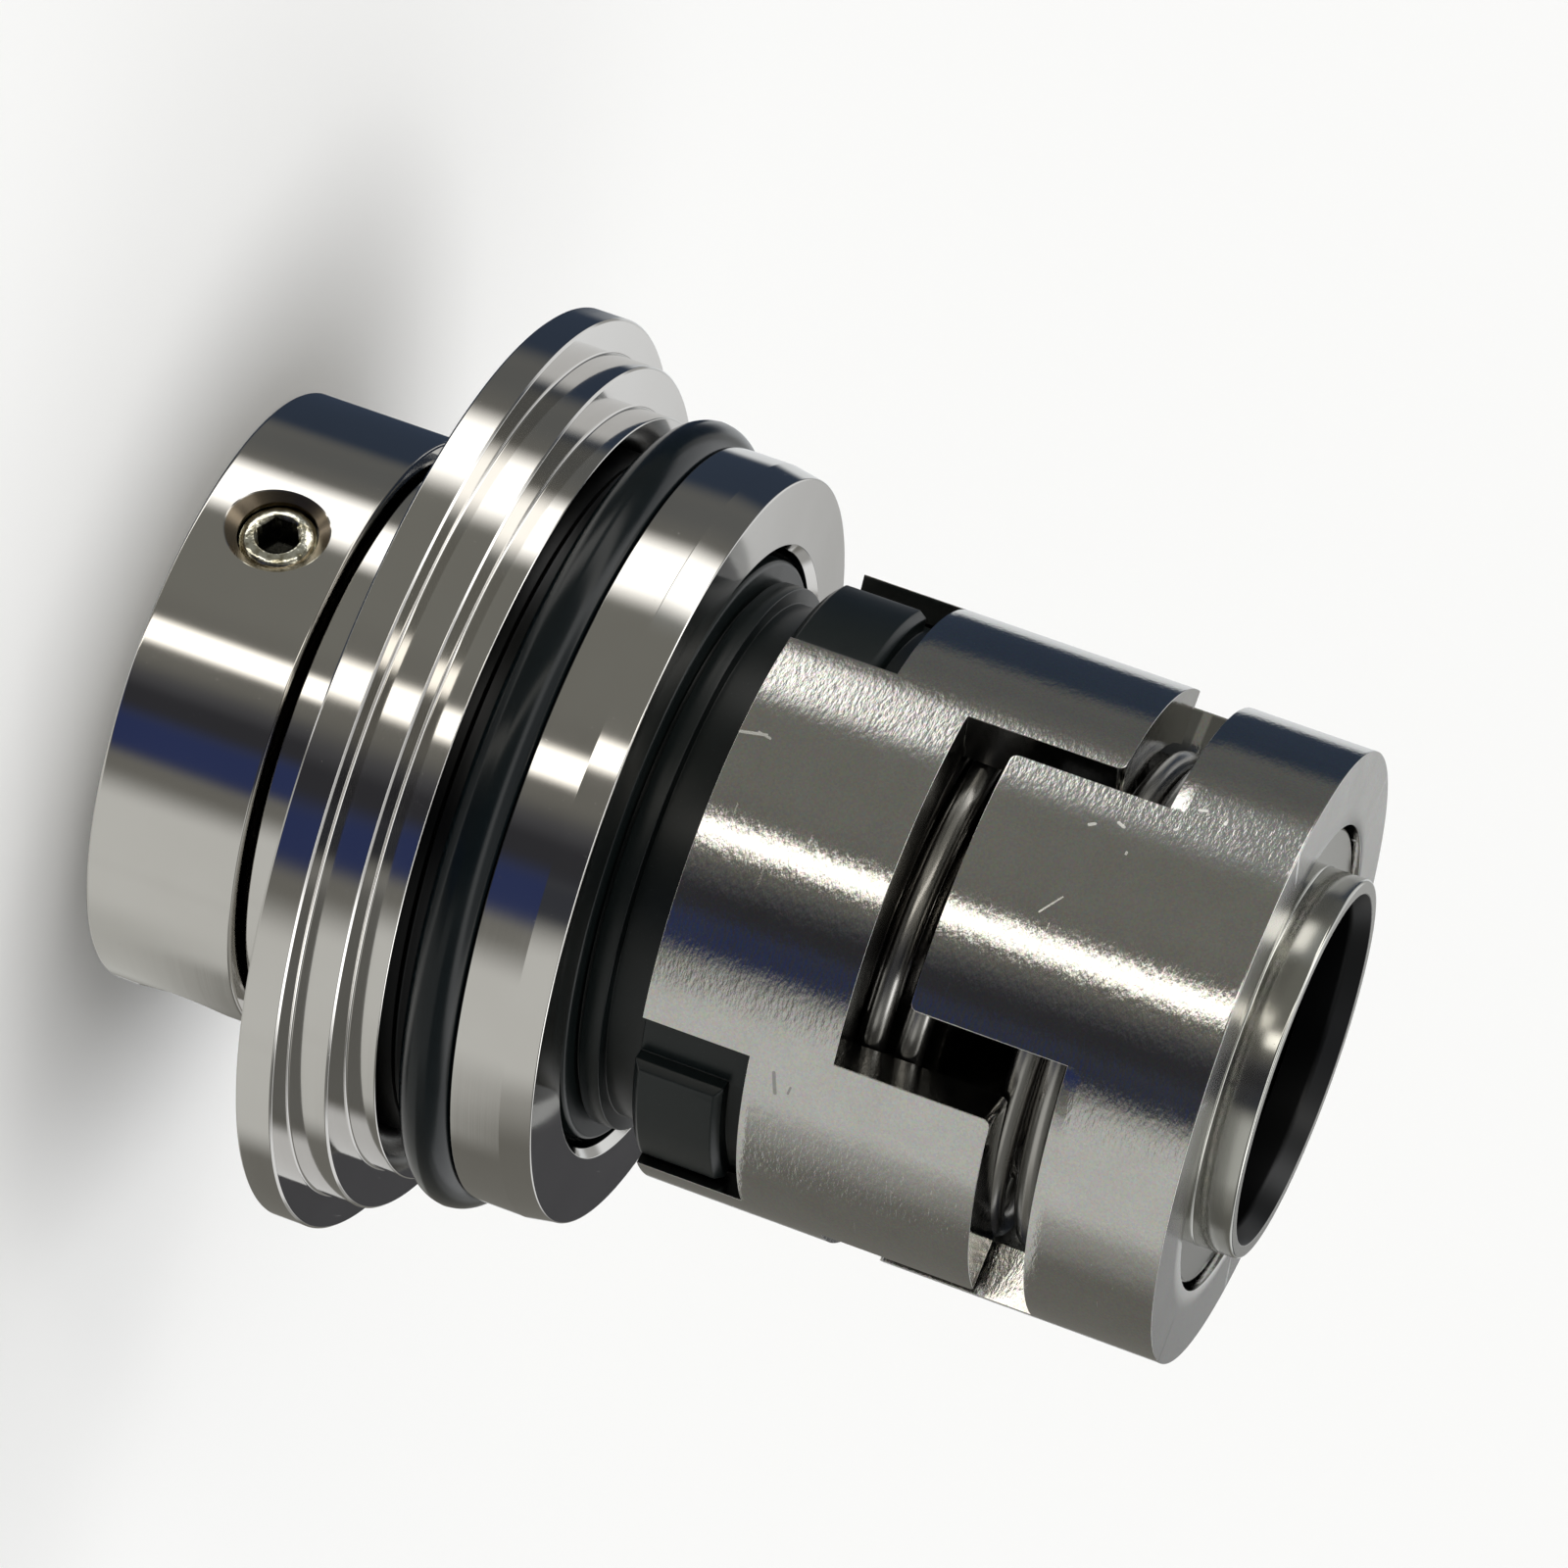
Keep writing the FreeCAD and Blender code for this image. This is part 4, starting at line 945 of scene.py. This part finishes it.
def spring_path():
    """Height of the wire's middle at each whole turn, joined, then averaged over 0.3 of a turn."""
    length = spring_high - spring_low
    level = [0.2 * WIRE, 1.4 * WIRE, 2.7 * WIRE,
             length - 2.4 * WIRE, length - 1.4 * WIRE, length - 0.2 * WIRE]
    turns = np.linspace(0, SPRING_TURNS, SPRING_TURNS * TURN_ROWS + 1)
    near = np.clip(turns[:, None] + np.linspace(-0.15, 0.15, 15), 0, SPRING_TURNS)
    height = np.interp(near, np.arange(SPRING_TURNS + 1), level).mean(axis=1)
    angle = SPRING_START - 2 * np.pi * turns
    return np.stack([COIL * np.cos(angle), COIL * np.sin(angle), spring_low + height], axis=1)


def build_spring():
    """A point of the wire is the path plus its radius times (outward cos t + upward sin t)."""
    path = spring_path()
    along = np.gradient(path, axis=0)
    along /= np.linalg.norm(along, axis=1, keepdims=True)
    outward = path * [1, 1, 0]
    outward /= np.linalg.norm(outward, axis=1, keepdims=True)
    upward = np.cross(along, outward)
    t = round_angles(WIRE_COLUMNS)[None, :, None]
    normals = outward[:, None] * np.cos(t) + upward[:, None] * np.sin(t)
    points = path[:, None] + WIRE / 2 * normals
    for plane, side in ((spring_low, -1.0), (spring_high, 1.0)):
        beyond = (points[..., 2] - plane) * side > 0
        points[beyond, 2] = plane
        normals[beyond] = (0, 0, side)
    grids = [grid(points, normals, closed_columns=True)]
    for end, side in ((0, -1), (-1, 1)):
        middle = points[end].mean(axis=0)
        cap = np.stack([np.broadcast_to(middle, points[end].shape), points[end]])
        grids.append(grid(cap, np.broadcast_to(side * along[end], cap.shape), closed_columns=True))
    return new_piece("spring", "rotor", grids, "coil_spring")


spring = build_spring()

# %% [markdown]
# A set screw has a hexagon socket with a countersunk mouth, a thread and a cup point.  Its skin is
# a chain of grids from the middle of the socket's floor to the middle of the cup: the radius at each
# direction changes from round to hexagonal and back.

# %% Set screws
HEX, HEX_DEPTH, HEX_MOUTH = 2.5, 2.6, 1.5
SCREW_LENGTH, SCREW_RADIUS, SCREW_OUTER = 6.0, 2.5, 19.1
PITCH, THREAD_DEPTH, THREAD_ENDS = 0.8, 0.4, (0.75, 5.3)
CUP_RADIUS, CUP_DEPTH = 1.3, 0.45
SCREW_COLUMNS, THREAD_ROWS = 96, 58


def smooth_normals(points):
    """The cross product of the differences along the rows and round the columns."""
    along = np.gradient(points, axis=0)
    around = np.roll(points, -1, axis=1) - np.roll(points, 1, axis=1)
    normals = np.cross(along, around)
    return normals / np.maximum(np.linalg.norm(normals, axis=2, keepdims=True), 1e-12)


def screw_bands(theta):
    """The skin in bands, each a list of rows of (depth below the outer end, radius)."""
    hexagon = HEX / 2 / np.cos((theta + np.pi / 6) % (np.pi / 3) - np.pi / 6)
    scallop = (HEX_MOUTH - hexagon) * 0.7 + 0.02
    crest = SCREW_RADIUS - 0.03
    start, stop = THREAD_ENDS
    depth = np.linspace(start, stop, THREAD_ROWS)[:, None] + 0 * theta
    phase = (depth / PITCH - theta / (2 * np.pi)) % 1.0
    fade = np.clip((depth - start) / 0.3, 0, 1) * np.clip((stop - depth) / 0.3, 0, 1)
    thread = crest - THREAD_DEPTH * fade * np.abs(2 * phase - 1)
    return [
        [(HEX_DEPTH + 0.35, 0.0), (HEX_DEPTH, hexagon * 0.85), (HEX_DEPTH, hexagon * 0.97)],
        [(HEX_DEPTH, hexagon * 0.97), (HEX_DEPTH - 0.05, hexagon),
         (HEX_DEPTH / 2, hexagon), (scallop, hexagon)],
        [(scallop, hexagon), (0.0, HEX_MOUTH)],
        [(0.0, HEX_MOUTH), (0.0, 1.62), (0.03, 1.8), (0.1, 2.0), (0.22, 2.2), (0.42, 2.38), (0.56, crest)],
        [(0.56, crest), *zip(depth, thread)],
        [(stop, crest), (SCREW_LENGTH, CUP_RADIUS + 0.25)],
        [(SCREW_LENGTH, CUP_RADIUS + 0.25), (SCREW_LENGTH, CUP_RADIUS)],
        [(SCREW_LENGTH, CUP_RADIUS), (SCREW_LENGTH - CUP_DEPTH, 0.2), (SCREW_LENGTH - CUP_DEPTH, 0.0)],
    ]


def mark_socket_shade(piece, axis):
    """Marks where shade is painted in the hexagon: below the outer end, and nearer the axis than its mouth.
    """
    place = np.array([vertex.co for vertex in piece.data.vertices]) / MM - [0, 0, SCREW_HEIGHT]
    along = place @ axis
    depth = SCREW_OUTER - along
    reach = np.linalg.norm(place - along[:, None] * axis, axis=1)
    inside = (depth > 0.15) & (depth < HEX_DEPTH + 0.4) & (reach < HEX * 0.58)
    piece.data.attributes.new("socket", "FLOAT", "POINT").data.foreach_set("value", inside.astype(np.float32))


def build_screw(number):
    """Depth and radius become a point: axis times (outer end - depth) plus the radius round the axis."""
    theta = round_angles(SCREW_COLUMNS)
    axis, rim = hole_axes(hole_directions()[number - 1], theta)
    grids = []
    for band in screw_bands(theta):
        rows = [[np.broadcast_to(part, theta.shape) for part in row] for row in band]
        depth, radius = np.array(rows).swapaxes(0, 1)
        points = axis * (SCREW_OUTER - depth)[..., None] + rim * radius[..., None] + [0, 0, SCREW_HEIGHT]
        grids.append(grid(points, -smooth_normals(points), closed_columns=True))
    piece = new_piece("screw_%d_body" % number, "screw_%d" % number, grids, "set_screw_%d" % number)
    mark_socket_shade(piece, axis)
    return piece


screws = [build_screw(number) for number in (1, 2, 3)]

# %% [markdown]
# Steel gets its colour from what it reflects, so its base colour is a plain light grey, a little
# warm.  What tells a turned face from a tumbled one is the fine shape of its skin: rings about a
# tenth of a millimetre apart, or a close grain of shallow dents.  Heights are in metres, as real
# ones are, so that the skin is as deep as it should be and no deeper.

# %% Finishing helpers
class Finish(Tree):
    """A material's node tree, which knows where a point is on the object, in metres."""

    def __init__(self, node_tree):
        super().__init__(node_tree)
        self.place = self.node("ShaderNodeTexCoord", output=3)
        x, y, self.level = self.split(self.place)
        self.x, self.y, self.radius = x, y, (x * x + y * y).math("SQRT")
        # What a lathe tool leaves depends on the distance from the axis and the height alone.
        self.rings = self.node("ShaderNodeCombineXYZ", None, [self.radius, 0.0, self.level])

    def noise(self, vector, scale, detail=2.0, roughness=0.5):
        """Noise of features about 1 / scale metres wide, about 0.5 in the middle."""
        return self.node("ShaderNodeTexNoise", None,
                         {"Vector": vector, "Scale": scale, "Detail": detail, "Roughness": roughness})

    def stretched(self, scale, turn=(0.0, 0.0, 0.0)):
        """The place turned and then scaled, so that a noise read from it is drawn out."""
        return self.node("ShaderNodeMapping", {"vector_type": "POINT"},
                         {"Vector": self.place, "Rotation": turn, "Scale": scale})

    def band(self, value, start, full, still, stop):
        """1 between full and still, and 0 below start and above stop."""
        return self.step(value, start, full) * self.step(value, stop, still)


# %% [markdown]
# Polished steel: the collar, the cover and the sleeve.  Under the polish there are still faint
# turning rings, a few wide soft ones and many fine ones, with thin scratches from handling.  In the
# bore and in the O-ring groove the shade is painted into the steel as a near-black colour, and the
# mouths of the screw holes get painted shade with a painted bronze reflection.  The sleeve's lip is
# duller than the rest.

# %% Polished steel
# Where the special places lie, in metres: start, full, still full, stop.
GROOVE_LEVELS = (0.02250, 0.02260, 0.02728, 0.02738)
HOLE_MOUTH_RADII = (0.0187, 0.0188, 0.01961, 0.01967)
HOLE_MOUTH_LEVELS = (0.0006, 0.0010, 0.0090, 0.0094)


def polished_steel(tree):
    """Rings from noise stretched round the axis, at two widths, and rare hair scratches."""
    radius, level = tree.radius, tree.level
    fine, wide = tree.noise(tree.rings, 9000.0), tree.noise(tree.rings, 1100.0, 1.0)
    cloud = tree.noise(tree.place, 160.0, 3.0)
    hairs = tree.noise(tree.stretched((40.0, 1.0, 12.0), (0.4, 0.9, 0.3)), 260.0, 1.0)
    scratch = tree.step(hairs, 0.78, 0.80)
    height = fine * 2.4e-7 + wide * 1.1e-6 - scratch * 6e-7
    # Painted shade: the bore and the O-ring groove below are painted near black, and made rougher.
    bore = tree.step(radius, 0.01156, 0.01148) * tree.step(level, 0.012, 0.020)
    groove = tree.step(radius, 0.02510, 0.02500) * tree.band(level, *GROOVE_LEVELS)
    dark = (bore + groove).math("MINIMUM", 1.0)
    # Painted shade and a painted bronze reflection in the countersunk mouths of the screw holes.
    mouth = tree.band(radius, *HOLE_MOUTH_RADII) * tree.band(level, *HOLE_MOUTH_LEVELS)
    lip = tree.step(level, 0.07120, 0.07128) * (1 - dark)
    rough = 0.055 + cloud * 0.035 + fine * 0.02 + scratch * 0.1 + dark * 0.25 + mouth * 0.16 + lip * 0.06
    colour = tree.mix(lip, tree.mix(cloud, (0.60, 0.585, 0.56), (0.66, 0.65, 0.63)), (0.48, 0.48, 0.45))
    # Painted shade: near black in the bore and the groove, dark bronze in the hole mouths.
    colour = tree.mix(mouth, tree.mix(dark, colour, (0.035, 0.036, 0.038)), (0.24, 0.20, 0.15))
    return {"Base Color": colour, "Metallic": 1.0, "Roughness": rough}, height


# %% [markdown]
# Satin steel: the carrier and the retainer.  They were tumbled, which leaves shallow dents drawn out
# round the axis.  Each dent catches the light on its own, so that a highlight breaks up into bright
# streaks with wavy borders.  The walls inside the slots lie in shade, and that shade is painted into
# their colour as a dark grey; they are also rougher.  Handling left a few nicks on the outer wall,
# each a short stroke.

# %% Satin steel
WALL_RADIUS = 19.5
LIGHT_NICKS = [
    # turn and height of one end, in degrees and millimetres, then of the other, and half the width
    (66.4, 36.9, 65.2, 38.9, 0.14), (65.1, 38.4, 65.6, 39.2, 0.10), (78.9, 58.6, 75.1, 59.6, 0.07),
    (60.9, 59.3, 60.4, 59.6, 0.14), (58.6, 60.9, 59.1, 61.3, 0.14), (63.6, 62.1, 63.9, 62.1, 0.12),
    (50.4, 65.0, 50.0, 65.4, 0.14), (51.0, 66.8, 51.5, 66.8, 0.12), (56.2, 64.2, 55.9, 64.3, 0.10),
]
DARK_NICKS = [(122.2, 46.0, 126.2, 46.3, 0.16), (124.0, 47.2, 125.4, 47.1, 0.10)]
# In metres: the radii at which the outer wall starts, the heights at which the painted shade inside
# stops and the end face starts, the height of the finger ends, and the y of the one flank that is
# left without painted shade.
OUTER_WALL, SHADED_INSIDE_TOP, END_FACE = (0.0193, 0.0194), (0.0652, 0.0645), (0.07155, 0.07165)
FINGER_ENDS, UNSHADED_FLANK = 0.0597, -0.0025


def nicks(tree, strokes):
    """1 within a stroke's half width of the line between its ends, measured on the unrolled wall."""
    turn = (0 - tree.y).math("ARCTAN2", 0 - tree.x) * WALL_RADIUS
    total = 0.0
    for first_turn, first_level, last_turn, last_level, half in strokes:
        run, climb = math.radians(last_turn - first_turn) * WALL_RADIUS, last_level - first_level
        u, v = turn - math.radians(first_turn) * WALL_RADIUS, tree.level * 1000 - first_level
        share = ((u * run + v * climb) / (run * run + climb * climb)).clamp(0.0, 1.0)
        du, dv = u - share * run, v - share * climb
        total = tree.step((du * du + dv * dv).math("SQRT"), half, half * 0.5).math("MAXIMUM", total)
    return total * tree.step(tree.radius, *OUTER_WALL)


def satin_steel(tree):
    """Drawn-out dents on a gentle swell, long scratches, cells of slight colour, and the nicks.

    The painted shade inside is everything under the outer wall and below the retainer's web, but not
    the fingers' end faces, and not the one flank that stays bright.
    """
    dents = tree.noise(tree.stretched((1.0, 1.0, 2.4)), 1700.0, 3.0, 0.55)
    swell = tree.noise(tree.place, 700.0, 1.0)
    cloud = tree.noise(tree.place, 330.0, 3.0, 0.6)
    hairs = tree.noise(tree.stretched((1.0, 1.0, 26.0), (0.2, 0.5, 0.1)), 210.0, 1.0)
    scratch = tree.step(hairs, 0.76, 0.79)
    cells = tree.node("ShaderNodeTexVoronoi", None, {"Vector": tree.place, "Scale": 8000.0}, output=1)
    # Painted shade: the walls inside the slots and under the web are painted dark grey, and made rougher.
    inside = tree.step(tree.radius, 0.01998, 0.01985) * tree.step(tree.level, *SHADED_INSIDE_TOP)
    inside = inside * tree.step((tree.level - FINGER_ENDS).math("ABSOLUTE"), 0.0002, 0.0004)
    inside = inside * tree.step((tree.y - UNSHADED_FLANK).math("ABSOLUTE"), 0.0005, 0.0007)
    faced = tree.step(tree.level, *END_FACE)
    light, gouge = nicks(tree, LIGHT_NICKS), nicks(tree, DARK_NICKS)
    height = (dents * 1.5e-5 + swell * 8e-6) * (1 - faced * 0.85) - scratch * 2e-6
    height = height + light * 2.5e-6 - gouge * 5e-6
    tint = tree.mix(0.10, tree.mix(cloud, (0.52, 0.515, 0.49), (0.62, 0.615, 0.595)), cells)
    # Here the painted shade inside turns the colour dark grey.
    tint = tree.mix(light, tree.mix(inside, tint, (0.26, 0.26, 0.25)), (0.95, 0.95, 0.92))
    tint = tree.mix(gouge * 0.5, tint, (0.10, 0.10, 0.10))
    rough = 0.075 + cloud * 0.05 + inside * 0.10 + faced * 0.12 + light * 0.32
    return {"Base Color": tint, "Metallic": 1.0, "Roughness": rough}, height


# %% [markdown]
# Spring wire is drawn through a die, which leaves faint lines along its length, and it has gone
# dull from its heat treatment.

# %% Spring wire
def spring_wire(tree):
    """Noise that doesn't change round the axis gives lines along the wire."""
    lines = tree.noise(tree.rings, 5200.0)
    cloud = tree.noise(tree.place, 260.0)
    colour = tree.mix(cloud, (0.40, 0.39, 0.37), (0.50, 0.49, 0.47))
    return {"Base Color": colour, "Metallic": 1.0, "Roughness": 0.22 + cloud * 0.08}, lines * 1.2e-6


# %% [markdown]
# The set screws are nickel-bright, with the tumbled look of small parts.  The shade in the hexagon
# socket is painted into its walls as a near-black colour.

# %% Screw steel
def screw_steel(tree):
    """Soft dents and a slight warmth, with painted shade where the piece's own mark says socket."""
    dents = tree.noise(tree.place, 1700.0, 3.0)
    socket = tree.node("ShaderNodeAttribute", {"attribute_name": "socket"}, output=2)
    colour = tree.mix(tree.step(dents, 0.35, 0.65), (0.44, 0.41, 0.30), (0.86, 0.86, 0.76))
    # Painted shade: the walls of the hexagon socket are painted near black.
    colour = tree.mix(socket, colour, (0.055, 0.055, 0.05))
    rough = 0.10 + dents * 0.08 + socket * 0.12
    return {"Base Color": colour, "Metallic": 1.0, "Roughness": rough}, dents * 4.5e-5


# %% [markdown]
# Silicon carbide is a dense black-green ceramic, ground but not polished outside its running face.

# %% Silicon carbide
def silicon_carbide(tree):
    """Tiny bright grains in a dark body."""
    grain = tree.noise(tree.place, 7000.0, 2.0, 0.6)
    cloud = tree.noise(tree.place, 300.0)
    colour = tree.mix(cloud, (0.005, 0.0088, 0.0092), (0.008, 0.0115, 0.012))
    colour = tree.mix(tree.step(grain, 0.66, 0.76) * 0.3, colour, (0.07, 0.08, 0.08))
    return {"Base Color": colour, "Specular IOR Level": 0.35, "Roughness": 0.28 + cloud * 0.1}, grain * 2e-6


# %% [markdown]
# Rubber is black with a film of grease that gives it thin wet highlights.  The filled plastic of
# the bush and the washer is a dull brown-black.

# %% Rubber and filled plastic
def seal_rubber(tree):
    """A fine moulded grain."""
    grain = tree.noise(tree.place, 4200.0, 3.0)
    film = tree.noise(tree.place, 420.0)
    colour = tree.mix(film, (0.0030, 0.0058, 0.0072), (0.005, 0.008, 0.0095))
    return {"Base Color": colour, "Specular IOR Level": 0.25, "Roughness": 0.15 + film * 0.09}, grain * 1.3e-6


def filled_plastic(tree):
    """Specks of filler in a dark body."""
    speck = tree.noise(tree.place, 3200.0, 3.0)
    colour = tree.mix(speck, (0.030, 0.024, 0.018), (0.085, 0.070, 0.050))
    return {"Base Color": colour, "Roughness": 0.48 + speck * 0.1}, speck * 4e-6


# %% [markdown]
# Every piece gets its finish and says which of the record's finishes it stands for.  The small
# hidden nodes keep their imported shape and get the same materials.

# %% Finishes
def dress(things, recipe, slot):
    """Gives pieces a material, and prints the slot that it stands for."""
    material = make_material(recipe.__name__, recipe, Finish)
    for thing in things:
        thing.data.materials.clear()
        thing.data.materials.append(material)
    print("%-16s on %s" % (slot, ", ".join(thing.name for thing in things)))


nodes = frame["nodes"]
dress([collar, cover, sleeve], polished_steel, "polished_steel")
dress([carrier, retainer], satin_steel, "satin_steel")
dress([spring], spring_wire, "spring_steel")
dress(screws + [nodes["seat_pin"], nodes["drive_pin"]], screw_steel, "screw_steel")
dress([seat, face], silicon_carbide, "silicon_carbide")
dress([cover_ring, shaft_ring, nodes["seat_o_ring"], nodes["face_o_ring"]], seal_rubber, "seal_rubber")
dress([bush, nodes["thrust_washer"]], filled_plastic, "filled_ptfe")
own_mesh(spring)
